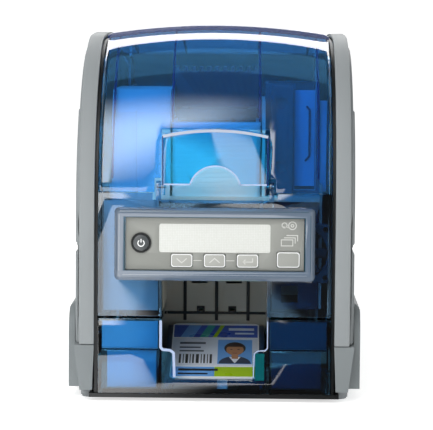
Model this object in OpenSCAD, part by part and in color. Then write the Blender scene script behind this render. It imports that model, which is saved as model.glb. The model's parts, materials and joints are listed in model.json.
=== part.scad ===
// Desktop ID card printer with a rear duplex module.
// X runs to the right, Y from front to back, Z up. The origin is on the table, under the middle.
// Inside the file every depth is measured back from the front edge of the side panels.

/* [Overall size] */
// Width over the lower skirts
total_w = 175; // [170:0.5:200]
// Height to the crown of the top cover
total_h = 224; // [221:0.5:228]
// Length of the main body, side panel front to rear wall
body_l = 387; // [375:1:430]
// Length of the duplex module behind the body
duplex_l = 147; // [135:1:180]
// How far the display bezel stands in front of the side panels
bezel_proud = 4; // [3:0.5:6]

/* [Side view of the body] */
// Height of the side panels at their highest point
side_h = 218; // [214:0.5:222]
// Radius of the front curve
front_r = 104; // [90:1:110]
// Radius of the long top curve
top_r = 1200; // [900:10:1500]
// Angle at which the front curve runs into the top curve
join_deg = 87; // [86:0.5:88]
// Radius of the rear top corner
rear_r = 25; // [18:1:32]

/* [Silver sides] */
// Inner face of the silver front band, from the centre
panel_in = 71.5; // [71:0.1:73]
// Outer face of the silver front band
band_out = 80.5; // [79:0.5:82]
// Wall of the silver mouldings
panel_wall = 2.5; // [2:0.1:3]
// Outer face of the first raised layer
layer_out = 82.3; // [82.1:0.1:82.8]
// Outer face of the raised field
field_out = 83.5; // [83:0.1:84]
// Set-back of the first raised layer from the outline
layer_inset = 7; // [5:0.5:10]
// Set-back of the raised field from the outline
field_inset = 14; // [11:0.5:18]
// Top of the raised field
field_top = 172; // [150:1:180]
// Height of the V groove
groove_z = 90.5; // [80:0.5:100]
// Width of the V groove
groove_w = 4.2; // [3:0.1:5]
// Height of the seam between side panel and skirt
seam_z = 33; // [30:0.5:36]
// Underside of the skirts
skirt_z = 6; // [5.5:0.1:7]
// Top of the skirt's outer bulge
bulge_top = 56; // [50:1:64]
// Front end of the bulge
bulge_front = 14; // [10:1:25]
// Thickness of the black side frames
frame_t = 1.8; // [1.5:0.1:1.8]

/* [Top cover] */
// Lower front edge of the cover
cover_z = 124.6; // [124.4:0.1:126]
// Rear end of the cover
cover_end = 334; // [320:1:340]
// Half width of the blue covers and panels
blue_half = 69.3; // [68.8:0.1:69.4]
// Thickness of the translucent mouldings
skin = 2.2; // [1.8:0.1:2.5]
// Depth of the cover's side flanges
flange_d = 14; // [12:0.5:16]
// Depth where the crown begins to fade
fade_start = 200; // [180:5:240]
// Distance from the cover's rear end to its hinge
hinge_back = 4; // [3:0.5:5]
// Depth of the cover hinge below the side outline
hinge_drop = 5; // [4.5:0.5:6]
// Radius of the cover's hinge pins
cover_pin_r = 2; // [1.5:0.1:2.5]

/* [Hopper door] */
// Half width of the hopper door
door_half = 31.5; // [31:0.1:31.6]
// Top of the door in its middle
door_top = 162.5; // [158:0.5:164]
// Rise of the door's arched top edge
door_rise = 3.6; // [2:0.1:5]
// Height of the door hinge
door_hinge_z = 128; // [127:0.5:129]
// Depth of the door hinge behind the side panel front
door_hinge_y = 3; // [2.5:0.1:3.5]
// Radius of the door's hinge pins
door_pin_r = 1.2; // [1:0.1:1.5]
// Radius of the thumb cut-out
thumb_r = 15.2; // [12:0.1:17]

/* [Front panel and display] */
// Top edge of the front panel
panel_top = 124; // [123.5:0.1:124]
// Bottom edge of the front panel
panel_bottom = 50.5; // [49.5:0.1:52]
// Half width of the bezel
bezel_half = 59.5; // [58:0.5:61]
// Underside of the bezel
bezel_low = 72; // [71:0.5:73]
// Top of the bezel
bezel_high = 115.5; // [114:0.5:115.5]
// Half width of the grey display plate
plate_half = 52.9; // [52:0.1:53.5]
// Lower edge of the display plate
plate_low = 78.6; // [78:0.1:79]
// Upper edge of the display plate
plate_high = 109.5; // [109:0.1:110]
// Half width of the screen
lcd_half = 33; // [30:0.5:34]
// Lower edge of the screen
lcd_low = 88.9; // [88.7:0.1:90]
// Upper edge of the screen
lcd_high = 106; // [104:0.5:107]
// Spacing of the buttons from the middle key
key_pitch = 19.5; // [17:0.1:21]
// Width of a menu key
key_w = 12.6; // [11:0.1:14]
// Height of a menu key
key_h = 7.7; // [6:0.1:7.8]
// Lower edge of the menu keys
key_low = 80.4; // [80:0.1:80.6]
// Place of the power button and the user key from the centre
end_button_x = 43.6; // [43:0.1:44]
// Width of the user key
user_w = 13.4; // [12:0.1:14]
// Height of the user key
user_h = 9; // [7:0.1:10]
// Height of the power button's centre
power_z = 94.6; // [92:0.1:98]
// Radius of the power button
power_r = 4.8; // [4:0.1:5.2]
// Outer radius of the black power ring
ring_r = 6; // [5.9:0.1:6.5]

/* [Output hopper] */
// Half width of the card bay
bay_half = 31.3; // [30:0.1:31.8]
// Top of the output hopper's front
drawer_top = 49; // [46:0.5:49.5]
// Top of the low tabs beside the card
tab_top = 30; // [26:0.5:34]
// Half width of the gap between the tabs
tab_gap = 23; // [20:0.5:25]
// Height of the front wall under the card
sill_z = 12.5; // [10:0.5:14]
// Slope of the card tray in degrees
tray_slope = 15; // [10:1:17]

/* [Cards] */
// Width of a card
card_w = 54; // [53.9:0.1:54.1]
// Length of a card
card_l = 85.6; // [85.4:0.1:85.8]
// Thickness of a card
card_t = 0.76; // [0.7:0.01:0.8]
// Corner radius of a card
card_r = 3.2; // [3:0.1:3.5]
// Number of blank cards in the stack
card_count = 58; // [30:1:60]
// Depth of the front edge of the stack
stack_y = 26; // [24:0.5:30]
// Top of the hopper floor
hopper_z = 120.4; // [119:0.1:121]

/* [Card drive] */
// Height of the card path
path_z = 84; // [82:0.5:86]
// Radius of the card rollers
roller_r = 7.5; // [6:0.1:8]
// Radius of the steel shafts
shaft_r = 3; // [2.5:0.1:3]
// Depth of the platen roller
platen_y = 245; // [243:0.5:247]
// Depth of the rear feed roller
feed_y = 302; // [298:0.5:304]
// Radius of the belt pulleys
pulley_r = 9; // [8:0.1:9.5]
// Gear module
gear_m = 0.8; // [0.8:0.05:0.85]
// Teeth of the large gears
big_teeth = 48; // [48:4:52]
// Teeth of the motor pinions
pinion_teeth = 14; // [14:1:15]
// Teeth of the flipper gear
flip_teeth = 60; // [60:4:64]
// Side of the stepper motors
motor_w = 42; // [39:0.5:42]

/* [Print ribbon] */
// Depth of the supply spool
supply_y = 192; // [190:0.5:194]
// Depth of the take-up spool
takeup_y = 304; // [303:0.5:306]
// Height of both spools
spool_z = 128; // [127:0.5:130]
// Radius of the spool flanges
spool_r = 18; // [15:0.5:18]
// Radius of the wound ribbon on the supply side
supply_wound = 15; // [10:0.5:15.5]
// Radius of the wound ribbon on the take-up side
takeup_wound = 10; // [9:0.5:14]

/* [Duplex module] */
// Underside of the duplex module
duplex_z = 36; // [35:0.5:38]
// Top of the duplex module
duplex_top = 165; // [158:1:170]
// Height of the seam under its lid
lid_z = 150; // [140:1:152]
// Half width of the duplex module
duplex_half = 70; // [68:0.5:72]
// Depth of the flipper axle behind the body
flip_back = 73; // [70:0.5:76]

/* [Clearances] */
// Between a moving piece and its neighbour
clear = 0.3; // [0.3:0.05:0.5]
// Between a shaft and its bore, on the radius
run = 0.05; // [0.02:0.01:0.08]

/* [Hidden] */
$fn = 64;
total_l = bezel_proud + body_l + duplex_l;
front_y = bezel_proud - total_l / 2;
crown_h = total_h - side_h;
arc_z = side_h - top_r + (top_r - front_r) * sin(join_deg);
top_cy = front_r + (top_r - front_r) * cos(join_deg);
top_cz = side_h - top_r;
rear_cy = body_l - rear_r;
rear_cz = top_cz + sqrt(pow(top_r - rear_r, 2) - pow(rear_cy - top_cy, 2));
skirt_out = total_w / 2;
tray_low = 1.6;
tray_top = 4;
tray_half = 74.5;
tray_front = 1;
foot_x = 73.4;
foot_r = 7;
foot_front = 18;
foot_back = body_l - 22;
frame_out = panel_in;
frame_in = panel_in - frame_t;
frame_inset = 3;
plate_out = 64;
plate_t = 1.5;
plate_in = plate_out - plate_t;
plate_front = 26;
plate_back = cover_end + 1;
gear_in = plate_out + 0.9;
gear_w = 3.3;
roller_z = path_z - roller_r - 0.5;
gear_gap = gear_m * (big_teeth + pinion_teeth) / 2;
flip_gap = gear_m * (flip_teeth + pinion_teeth) / 2;
card_motor_z = roller_z - gear_gap;
ribbon_motor_z = spool_z + gear_gap;
flip_y = body_l + flip_back;
flip_motor_z = path_z + flip_gap;
hinge_y = cover_end - hinge_back;
hinge_z = top_cz + sqrt(pow(top_r, 2) - pow(hinge_y - top_cy, 2)) - hinge_drop;
rear_start = hinge_y + sqrt(pow(hinge_back, 2) + pow(hinge_drop, 2)) + 2 * clear;
face_y = 1;
drawer_low = tray_top + clear;
stack_h = card_count * card_t;
card_y0 = 12;
card_z0 = 11.5;
lug_in = door_half + 0.5;
lug_out = lug_in + 3;
lug_r = 3.2;
drawer_d = card_l + 8.4;
wall_y = drawer_d + 6;
slot_z = drawer_top - 9;
exit_y = wall_y + 13;
transport_y = (exit_y + platen_y) / 2;
relay_y = feed_y + 70;
entry_y = wall_y + 65;
entry_r = 7;
entry_pulley_r = pulley_r * entry_r / roller_r;
belt_t = 1.2;
guide_y = stack_y + card_l + 5;
guide_end = 200;
guide_fall = (hopper_z - 5 - path_z) / (guide_end - guide_y);
entry_z = hopper_z - entry_r - (entry_y - guide_y) * guide_fall;
side_y = 38;
board_half = 56;
board_front = 120;
board_back = 280;
board_z = 12;
pick_y = stack_y + card_l - 13;
pick_r = 8;
pick_z = hopper_z - pick_r - clear;
spool_half = 28;
cart_in = 31;
cart_out = 33;
pivot_y = 272;
pivot_z = 118;
head_y = platen_y;
fan_x = 51.3;
fan_z = 87.5;
fan_half = 17.3;
fan_front = 13;
fan_back = 23;
lid_r = 3;
lid_y = body_l + duplex_l - lid_r;
lid_axis_z = lid_z + lid_r + clear;
lid_pin_r = 1.2;
ear_in = duplex_half - 8.8;
ear_out = ear_in + 2.5;
screw_x = 64;
screw_zs = [44, 100, 156];

// ---------- helpers ----------

// Moves a piece from the depth used here to its place over the origin.
module placed() {
    translate([0, front_y, 0]) children();
}

// Extrudes a (y, z) outline along X.
module slab_x(x0, x1) {
    translate([x0, 0, 0]) rotate([90, 0, 90]) linear_extrude(x1 - x0) children();
}

// Extrudes an (x, z) outline along Y.
module slab_y(y0, y1) {
    translate([0, y1, 0]) rotate([90, 0, 0]) linear_extrude(y1 - y0) children();
}

// Extrudes an (x, y) outline along Z.
module slab_z(z0, z1) {
    translate([0, 0, z0]) linear_extrude(z1 - z0) children();
}

module block(x0, x1, y0, y1, z0, z1) {
    translate([x0, y0, z0]) cube([x1 - x0, y1 - y0, z1 - z0]);
}

module rod_x(x0, x1, y, z, r) {
    translate([x0, y, z]) rotate([0, 90, 0]) cylinder(h = x1 - x0, r = r);
}

module rod_y(x, y0, y1, z, r) {
    translate([x, y1, z]) rotate([90, 0, 0]) cylinder(h = y1 - y0, r = r);
}

module rod_z(x, y, z0, z1, r) {
    translate([x, y, z0]) cylinder(h = z1 - z0, r = r);
}

module both_sides() {
    children();
    mirror([1, 0, 0]) children();
}

// A rectangle with round corners, from exact squares and circles.
module rounded(x0, x1, y0, y1, r) {
    translate([x0 + r, y0]) square([x1 - x0 - 2 * r, y1 - y0]);
    translate([x0, y0 + r]) square([x1 - x0, y1 - y0 - 2 * r]);
    for (x = [x0 + r, x1 - r], y = [y0 + r, y1 - r]) {
        translate([x, y]) circle(r);
    }
}

// The body's side view, set back by inset, down to the height low.
module outline(inset, low) {
    join_y = front_r - (front_r - inset) * cos(join_deg);
    rear_y = top_cy + (top_r - inset) * (rear_cy - top_cy) / (top_r - rear_r);
    translate([inset, low]) square([body_l - 2 * inset, arc_z - low + 0.1]);
    intersection() {
        translate([front_r, arc_z]) circle(front_r - inset, $fn = 256);
        translate([0, arc_z]) square([front_r, front_r]);
    }
    intersection() {
        translate([top_cy, top_cz]) circle(top_r - inset, $fn = 256);
        translate([join_y, arc_z]) square([rear_y - join_y, side_h]);
    }
    translate([rear_cy, rear_cz]) circle(rear_r - inset);
    translate([rear_cy, arc_z]) square([rear_r - inset, rear_cz - arc_z]);
}

// A spur gear outline with slim straight teeth, one tooth on the first axis.
module gear_2d(teeth, phase) {
    pitch_r = gear_m * teeth / 2;
    pitch_a = 360 / teeth;
    tooth = [[-0.3, -1.15], [-0.12, 0.85], [0.12, 0.85], [0.3, -1.15]];
    polygon([
        for (i = [0 : teeth - 1], p = tooth)
            let (r = pitch_r + p[1] * gear_m, a = phase + (i + p[0]) * pitch_a)
                [r * cos(a), r * sin(a)]
    ]);
}

module gear(x0, y, z, teeth, phase, bore) {
    difference() {
        translate([0, y, z]) slab_x(x0, x0 + gear_w) gear_2d(teeth, phase);
        rod_x(x0 - 1, x0 + gear_w + 1, y, z, bore);
    }
}

// ---------- sweep along the cover's side view ----------

function smooth(k) = let (c = max(0, min(1, k))) c * c * (3 - 2 * c);

cover_t0 = asin((cover_z - 0.4 - arc_z) / front_r);
cover_u1 = asin((cover_end - top_cy) / top_r);

// A station is [y, z, normal y, normal z, crown].
function front_station(t) = [
    front_r * (1 - cos(t)), arc_z + front_r * sin(t), -cos(t), sin(t),
    crown_h * smooth((t - cover_t0) / (join_deg - cover_t0))
];
function top_station(u) = let (y = top_cy + top_r * sin(u)) [
    y, top_cz + top_r * cos(u), sin(u), cos(u),
    crown_h * (1 - smooth((y - fade_start) / (hinge_y - 12 - fade_start)))
];
front_steps = 12;
rise_steps = 2;
fall_steps = 7;
stations = concat(
    [for (i = [0 : front_steps]) front_station(cover_t0 + (join_deg - cover_t0) * i / front_steps)],
    [for (i = [1 : rise_steps]) top_station((join_deg - 90) * (1 - i / rise_steps))],
    [for (i = [1 : fall_steps]) top_station(cover_u1 * i / fall_steps)]
);

// The point at x across a station, at an offset from its crowned surface.
function swept(s, x, off) =
    let (o = off + s[4] * (1 - pow(x / blue_half, 2)))
        [x, s[0] + s[2] * o, s[1] + s[3] * o];

// The point at x across a station, at a depth under the flat side outline.
function under(s, x, depth) = [x, s[0] - s[2] * depth, s[1] - s[3] * depth];

across_steps = 12;
function cover_ring(s) =
    let (w = blue_half, v = blue_half - skin)
    concat(
        [for (j = [0 : across_steps]) swept(s, -w + 2 * w * j / across_steps, 0)],
        [under(s, w, flange_d), under(s, v, flange_d)],
        [for (j = [0 : across_steps]) swept(s, v - 2 * v * j / across_steps, -skin)],
        [under(s, -v, flange_d), under(s, -w, flange_d)]
    );

// Joins the sections of the cover: outer skin, right flange, inner skin, left flange.
module cover_shell() {
    rings = [for (s = stations) cover_ring(s)];
    n = len(rings[0]);
    last = (len(rings) - 1) * n;
    inner = across_steps + 3;
    cap = concat(
        [[across_steps, across_steps + 1, across_steps + 2, inner]],
        [[0, inner + across_steps, n - 2, n - 1]],
        [for (j = [0 : across_steps - 1])
            [j, j + 1, inner + across_steps - j - 1, inner + across_steps - j]]
    );
    polyhedron(
        points = [for (ring = rings, p = ring) p],
        faces = concat(
            cap,
            [for (i = [0 : len(rings) - 2], j = [0 : n - 1], half = [0, 1])
                let (a = i * n + j, b = i * n + (j + 1) % n)
                    half == 0 ? [a, a + n, b + n] : [a, b + n, b]],
            [for (f = cap) [for (k = [3 : -1 : 0]) last + f[k]]]
        )
    );
}

// ---------- casing ----------

module base_tray() {
    rim_top = skirt_z - 0.1;
    color("#101416") placed() difference() {
        union() {
            block(-tray_half, tray_half, tray_front, body_l - 1, tray_low, tray_top);
            both_sides() block(tray_half - 2.5, tray_half, foot_front - 8, body_l - 1, tray_low, rim_top);
            block(-60, 60, body_l - 8, body_l - 5.5, tray_low, 10);
            for (y = [130, 200, 270], x = [-52, 52]) rod_z(x, y, tray_top - 1, 12, 3.5);
        }
        for (x = [-foot_x, foot_x], y = [foot_front, foot_back]) {
            rod_z(x, y, tray_low - 1, rim_top + 1, foot_r + clear);
        }
        for (y = [150 : 14 : 260], x = [-24, 24]) block(x - 16, x + 16, y, y + 4, 0, tray_top + 1);
    }
}

module feet() {
    color("#8f9496") placed()
        for (x = [-foot_x, foot_x], y = [foot_front, foot_back]) {
            rod_z(x, y, 0, 1.2, foot_r - 0.8);
            difference() {
                rod_z(x, y, 1, skirt_z, foot_r);
                block(-panel_in - 0.1, panel_in + 0.1, y - 10, y + 10, tray_top - 0.1, skirt_z + 1);
            }
        }
}

module skirt() {
    bulge_in = field_out + 0.2;
    bulge_t = skirt_out - bulge_in;
    lower_out = band_out - 0.5;
    difference() {
        union() {
            slab_y(0, body_l) polygon([
                [panel_in, seam_z], [field_out, seam_z],
                [lower_out, skirt_z], [panel_in + 1.1, skirt_z]
            ]);
            intersection() {
                slab_y(bulge_front, body_l - 8) union() {
                    translate([lower_out, skirt_z]) square([skirt_out - lower_out, seam_z - skirt_z]);
                    translate([bulge_in, seam_z - 1])
                        square([bulge_t, bulge_top - bulge_t - seam_z + 1]);
                    intersection() {
                        translate([bulge_in, bulge_top - bulge_t]) circle(bulge_t);
                        translate([bulge_in, bulge_top - bulge_t]) square(bulge_t);
                    }
                }
                slab_x(lower_out - 1, skirt_out + 1)
                    rounded(bulge_front, body_l - 8, -20, bulge_top, 18);
            }
        }
        block(panel_in - 1, lower_out - panel_wall, panel_wall, body_l - panel_wall,
            skirt_z + panel_wall, seam_z - panel_wall);
    }
}

module skirts() {
    color("#878c8f") placed() both_sides() skirt();
}

module side_panel() {
    low = seam_z + 0.4;
    difference() {
        union() {
            slab_x(panel_in, band_out) outline(0, low);
            slab_x(band_out - 1, layer_out) outline(layer_inset, low);
            intersection() {
                slab_x(layer_out - 1, field_out) outline(field_inset, low);
                block(0, total_w, field_inset, body_l - field_inset, low, field_top);
            }
        }
        slab_x(panel_in - 1, band_out - panel_wall) outline(panel_wall, low + panel_wall);
        translate([field_out, layer_inset - 1, groove_z]) rotate([0, 45, 0])
            translate([-groove_w / 2, 0, -groove_w / 2]) cube([groove_w, body_l, groove_w]);
        rod_x(panel_in - 1, panel_in + 3, hinge_y, hinge_z, cover_pin_r + run);
    }
}

module side_panel_right() {
    color("#898e90") placed() side_panel();
}

module side_panel_left() {
    color("#898e90") placed() mirror([1, 0, 0]) side_panel();
}

module side_frames() {
    color("#0c0f11") placed() both_sides() difference() {
        slab_x(frame_in, frame_out) outline(frame_inset, tray_top);
        rod_x(frame_in - 1, frame_out + 1, hinge_y, hinge_z, cover_pin_r + run);
    }
}

module top_cover() {
    color([0, 0.32, 0.62, 0.55]) placed() difference() {
        cover_shell();
        block(-total_w, total_w, -30, 60, 0, cover_z);
        block(-door_half - 0.7, door_half + 0.7, -30, 40, 0, door_top - 1);
        block(-lug_out - 1, lug_out + 1, -30, 40, 0, door_hinge_z + 5);
        both_sides() rod_x(60, total_w, hinge_y, hinge_z, cover_pin_r + run);
    }
}

module pins_and_screws() {
    color("#b8bcbe") placed() {
        both_sides() rod_x(blue_half - skin - 1, panel_in + 2.8, hinge_y, hinge_z, cover_pin_r);
        both_sides() rod_x(door_half - 2.4, lug_out - 0.3, door_hinge_y, door_hinge_z, door_pin_r);
        both_sides() rod_x(ear_in + 0.2, duplex_half - 1, lid_y, lid_axis_z, lid_pin_r);
        for (x = [-screw_x, screw_x], z = screw_zs) {
            rod_y(x, body_l - 3, body_l, z, 1.5);
            rod_y(x, body_l, body_l + 0.25, z, 2.6);
        }
        for (x = [-25, 25], y = [46, body_l - 46]) {
            rod_z(x, y, tray_low - 0.9, tray_low, 3);
        }
    }
}

module rear_cover() {
    color("#0b2a52") placed() intersection() {
        difference() {
            slab_x(-blue_half, blue_half) outline(0, 100);
            slab_x(-blue_half + skin, blue_half - skin) outline(skin, 99);
        }
        block(-total_w, total_w, rear_start, body_l + 1, duplex_top + 1, total_h);
    }
}

module rear_wall() {
    color("#3a3f42") placed() difference() {
        block(-blue_half, blue_half, body_l - 2, body_l, tray_top, duplex_top + 0.7);
        block(-30, 30, body_l - 3, body_l + 1, path_z - 5, path_z + 5);
        block(-62, -62 + 27.6, body_l - 3, body_l + 1, 11.2, 31.2);
        block(14.7, 27.3, body_l - 3, body_l + 1, 13.7, 25.3);
        block(33.7, 50.3, body_l - 3, body_l + 1, 12.7, 27.3);
        for (x = [-screw_x, screw_x], z = screw_zs) rod_y(x, body_l - 3, body_l + 1, z, 1.5 + run);
        for (x = [-20 : 6 : 4]) block(x, x + 3, body_l - 3, body_l + 1, 12, 30);
    }
}

// ---------- front panel and display ----------

module front_panel() {
    lip_z = panel_top - 4;
    color([0.08, 0.3, 0.6, 0.55]) placed() difference() {
        union() {
            block(-blue_half, blue_half, face_y, face_y + skin, panel_bottom, panel_top);
            both_sides() block(blue_half - skin, blue_half, face_y, 12, panel_bottom, panel_top);
            both_sides() block(bay_half, bay_half + skin, face_y, 20, panel_bottom, bezel_low);
            both_sides() {
                block(lug_in, lug_out, door_hinge_y - lug_r + 1.2, door_hinge_y + lug_r,
                    lip_z - 8, door_hinge_z);
                rod_x(lug_in, lug_out, door_hinge_y, door_hinge_z, lug_r);
            }
            block(-lug_in, lug_in, face_y, 20, lip_z - 2, lip_z);
        }
        block(-bay_half, bay_half, -10, 30, 0, bezel_low + 1);
        block(-lug_in, lug_in, -10, 30, lip_z, 200);
        both_sides() block(lug_out, lug_out + 2, -10, 30, lip_z, 200);
        block(-plate_half - 1, plate_half + 1, -10, 30, plate_low - 1, plate_high + 1);
        both_sides() rod_x(lug_in - 1, lug_out + 1, door_hinge_y, door_hinge_z, door_pin_r + run);
    }
}

module display_bezel() {
    color([0.35, 0.5, 0.72, 0.7]) placed() difference() {
        hull() {
            slab_y(face_y - 1.5, face_y)
                rounded(-bezel_half, bezel_half, bezel_low, bezel_high, 3);
            slab_y(-bezel_proud, -bezel_proud + 1)
                rounded(-bezel_half + 2.5, bezel_half - 2.5, bezel_low + 3.4, bezel_high - 1.6, 2);
        }
        block(-plate_half - clear, plate_half + clear, -10, 10, plate_low - 0.2, plate_high + clear);
    }
}

module key_outline(x, w, low, h, grow) {
    rounded(x - w / 2 - grow, x + w / 2 + grow, low - grow, low + h + grow, 1);
}

module display_plate() {
    color("#96978f") placed() difference() {
        block(-plate_half, plate_half, -1, face_y + 0.6, plate_low, plate_high);
        slab_y(-2, 4) rounded(-lcd_half, lcd_half, lcd_low, lcd_high, 1.5);
        rod_y(-end_button_x, -3, 4, power_z, ring_r);
        for (x = [-key_pitch, 0, key_pitch]) {
            slab_y(-2, 4) key_outline(x, key_w, key_low, key_h, clear);
        }
        slab_y(-2, 4) key_outline(end_button_x, user_w, key_low + 0.2, user_h, clear);
    }
}

module lcd_window() {
    color("#e8e8e0") placed() slab_y(-0.8, face_y + 0.2)
        rounded(-lcd_half + 0.05, lcd_half - 0.05, lcd_low + 0.05, lcd_high - 0.05, 1.4);
}

module power_ring() {
    color("#15181a") placed() difference() {
        rod_y(-end_button_x, -1.9, face_y + 0.6, power_z, ring_r);
        rod_y(-end_button_x, -3, 4, power_z, power_r + clear);
    }
}

module power_button() {
    color("#55595a") placed() {
        rod_y(-end_button_x, -2.2, 2.5, power_z, power_r);
        rod_y(-end_button_x, 2, 4.6, power_z, 2);
    }
}

module key(x, w, low, h) {
    slab_y(-1.7, 2.6) key_outline(x, w, low, h, 0);
    rod_y(x, 2, 5.2, low + h / 2, 1.5);
}

module key_down() {
    color("#c6c5bf") placed() key(-key_pitch, key_w, key_low, key_h);
}

module key_up() {
    color("#c6c5bf") placed() key(0, key_w, key_low, key_h);
}

module key_enter() {
    color("#c6c5bf") placed() key(key_pitch, key_w, key_low, key_h);
}

module key_user() {
    color("#a7a9a3") placed() key(end_button_x, user_w, key_low + 0.2, user_h);
}

module control_board() {
    board_y = 7.6;
    switch_z = key_low + key_h / 2;
    color("#1d5b3a") placed() {
        block(-plate_half, plate_half, board_y, board_y + 1.6, plate_low - 1.5, plate_high + 1.5);
        block(-lcd_half + 0.5, lcd_half - 0.5, face_y + 0.2, board_y, lcd_low + 0.5, lcd_high - 0.5);
        for (x = [-key_pitch, 0, key_pitch]) rod_y(x, 6.3, board_y, switch_z, 3);
        rod_y(end_button_x, 6.3, board_y, key_low + 0.2 + user_h / 2, 3);
        rod_y(-end_button_x, 6.4, board_y, power_z, 3);
        for (p = [[-plate_half + 3, plate_low + 1.6], [31.3, plate_low + 1.6],
                [-plate_half + 3, plate_high - 1.6], [plate_half - 3, plate_high - 1.6]]) {
            rod_y(p[0], face_y + 0.6, board_y, p[1], 1.4);
        }
        block(-12, 12, board_y + 1.6, board_y + 6, plate_high - 6, plate_high - 1);
    }
}

// ---------- card hopper and card bay ----------

module hopper_door() {
    back_y = 9.5;
    front = -2;
    rise_r = (pow(door_half, 2) + pow(door_rise, 2)) / (2 * door_rise);
    color([0.02, 0.45, 0.75, 0.55]) placed() difference() {
        intersection() {
            slab_x(-door_half, door_half) polygon([
                [front, door_hinge_z - 5], [4, door_hinge_z - 5], [back_y, door_hinge_z + 20],
                [back_y, door_top + 1], [front, door_top + 1]
            ]);
            rod_y(0, -20, 40, door_top - rise_r, rise_r);
        }
        intersection() {
            block(-door_half + 2, door_half - 2, front + 2, 40, door_hinge_z - 10, door_top);
            rod_y(0, -20, 50, door_top - rise_r, rise_r - 2);
        }
        block(-door_half + 2, door_half - 2, front - 1, 40, door_hinge_z - 10, door_hinge_z + 1);
        rod_y(0, front - 1, 20, door_hinge_z - 3.2, thumb_r);
        both_sides() rod_x(door_half - 3, door_half + 1, door_hinge_y, door_hinge_z, door_pin_r + run);
    }
}

module card_outline() {
    rounded(-card_w / 2, card_w / 2, 0, card_l, card_r);
}

module blank_cards() {
    color("#e9edf0") placed() translate([0, stack_y, 0])
        slab_z(hopper_z, hopper_z + stack_h) card_outline();
}

module hopper_frame() {
    floor_y0 = stack_y - 2;
    floor_y1 = stack_y + card_l + 4;
    wall = 2;
    guide = card_w / 2 + 0.6;
    box_top = 184;
    color("#b9bcc4") placed() difference() {
        union() {
            block(-plate_in, plate_in, floor_y0, floor_y1, hopper_z - 3, hopper_z);
            both_sides() block(guide, guide + wall, floor_y0 + 6, floor_y1, hopper_z - 1, 178);
            both_sides() block(guide, guide + wall, pick_y - 8, pick_y + 8, pick_z - 6, hopper_z - 1);
            intersection() {
                difference() {
                    block(-plate_in, -guide, floor_y0, floor_y1, hopper_z - 1, box_top);
                    slab_x(-plate_in + wall, -guide - wall) intersection() {
                        outline(5 + wall, hopper_z + 1);
                        translate([floor_y0 + wall, 0]) square([floor_y1, box_top - wall]);
                    }
                }
                slab_x(-total_w, total_w) outline(5, 50);
            }
            block(-blue_half + skin + 0.3, -bay_half - skin - 0.4, 14, 16, panel_bottom + 2, hopper_z - 2);
            block(-plate_in + 0.5, -bay_half - skin - 1, 14, floor_y0 + 3, hopper_z - 4, hopper_z - 2);
        }
        block(-pick_r - 2, pick_r + 2, pick_y - 9, pick_y + 9, hopper_z - 4, hopper_z + 1);
        both_sides() rod_x(guide - 1, guide + 3, pick_y, pick_z, 2 + run);
        block(-48, -47, floor_y0 - 1, floor_y0 + 0.8, hopper_z, box_top + 1);
    }
}

module hopper_side_block() {
    floor_y0 = stack_y - 2;
    wall = 2;
    guide = card_w / 2 + 0.6 + wall;
    side_top = 187;
    back_half = card_w / 2 + 0.6;
    back_z = hopper_z + card_t + clear;
    back_y = floor_y0 + card_l + 3.6;
    back_top = 197;
    color("#12202e") placed() {
        intersection() {
            difference() {
                union() {
                    block(guide, plate_in, side_y + 3, 100, hopper_z, side_top + 1);
                    block(33, 46.4, side_y, side_y + 4, hopper_z, side_top);
                }
                block(guide + wall, plate_in - wall, side_y + 5, 98, hopper_z + wall, side_top + 2);
                block(47.4, 60, side_y, side_y + 10, hopper_z + 4, side_top + 2);
                for (z = [138, 176]) rod_y(39.5, side_y - 1, side_y + 1.5, z, 3.5);
            }
            slab_x(-total_w, total_w) outline(5, 50);
        }
        difference() {
            block(bay_half + skin + 1, plate_in - 0.5, plate_front + 1, plate_front + 3,
                panel_bottom + 2, hopper_z - 3);
            block(40, 50, plate_front - 1, plate_front + 5, panel_bottom + 6, panel_bottom + 16);
        }
        difference() {
            block(-back_half, back_half, back_y, back_y + wall, back_z, back_top);
            for (x = [-back_half + 3 : 5 : back_half - 4]) {
                block(x, x + 2.4, back_y - 1, back_y + wall + 1, back_top - 3, back_top + 1);
            }
        }
    }
}

module card_weight() {
    low = hopper_z + stack_h + clear;
    color("#5d6468") placed() difference() {
        block(-24, 24, 50, 104, low, low + 7);
        block(-18, 18, 56, 98, low + 2.5, low + 8);
        both_sides() block(21, 30, 70, 84, low + 3, low + 9);
    }
}

module pick_roller() {
    color("#2a2d2f") placed() {
        difference() {
            rod_x(-pick_r, pick_r, pick_y, pick_z, pick_r);
            rod_x(-pick_r - 1, pick_r + 1, pick_y, pick_z, 2);
        }
        rod_x(-31, 31, pick_y, pick_z, 2);
    }
}

module exit_bay() {
    wall = 2.4;
    top = path_z - 6;
    color("#33383a") placed() difference() {
        union() {
            block(-34, 34, wall_y, wall_y + wall, 8, top);
            block(-plate_in, plate_in, wall_y, wall_y + wall, panel_bottom + 2.5, top);
            both_sides() block(bay_half + 0.2, bay_half + 2.2, 20 + clear, wall_y + 1, panel_bottom, top);
            for (x = [-20, 0, 20]) block(x - 1, x + 1, wall_y - 1.6, wall_y + 1, slot_z - 4, top - 2);
            block(-bay_half, bay_half, wall_y - 1.6, wall_y + 1, slot_z, slot_z + 1.5);
            for (x = [-10, 10]) block(x - 2.5, x + 2.5, wall_y - 1.8, wall_y + 1, slot_z + 1, slot_z + 5);
        }
        for (x = [-16, 6]) block(x, x + 10, wall_y - 3, wall_y + 5, panel_bottom + 9, panel_bottom + 11);
        for (x = [-10, 10]) {
            block(x - 1.5, x + 1.5, wall_y - 3, wall_y + 5, slot_z + 2, slot_z + 3.8);
        }
    }
}

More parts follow.
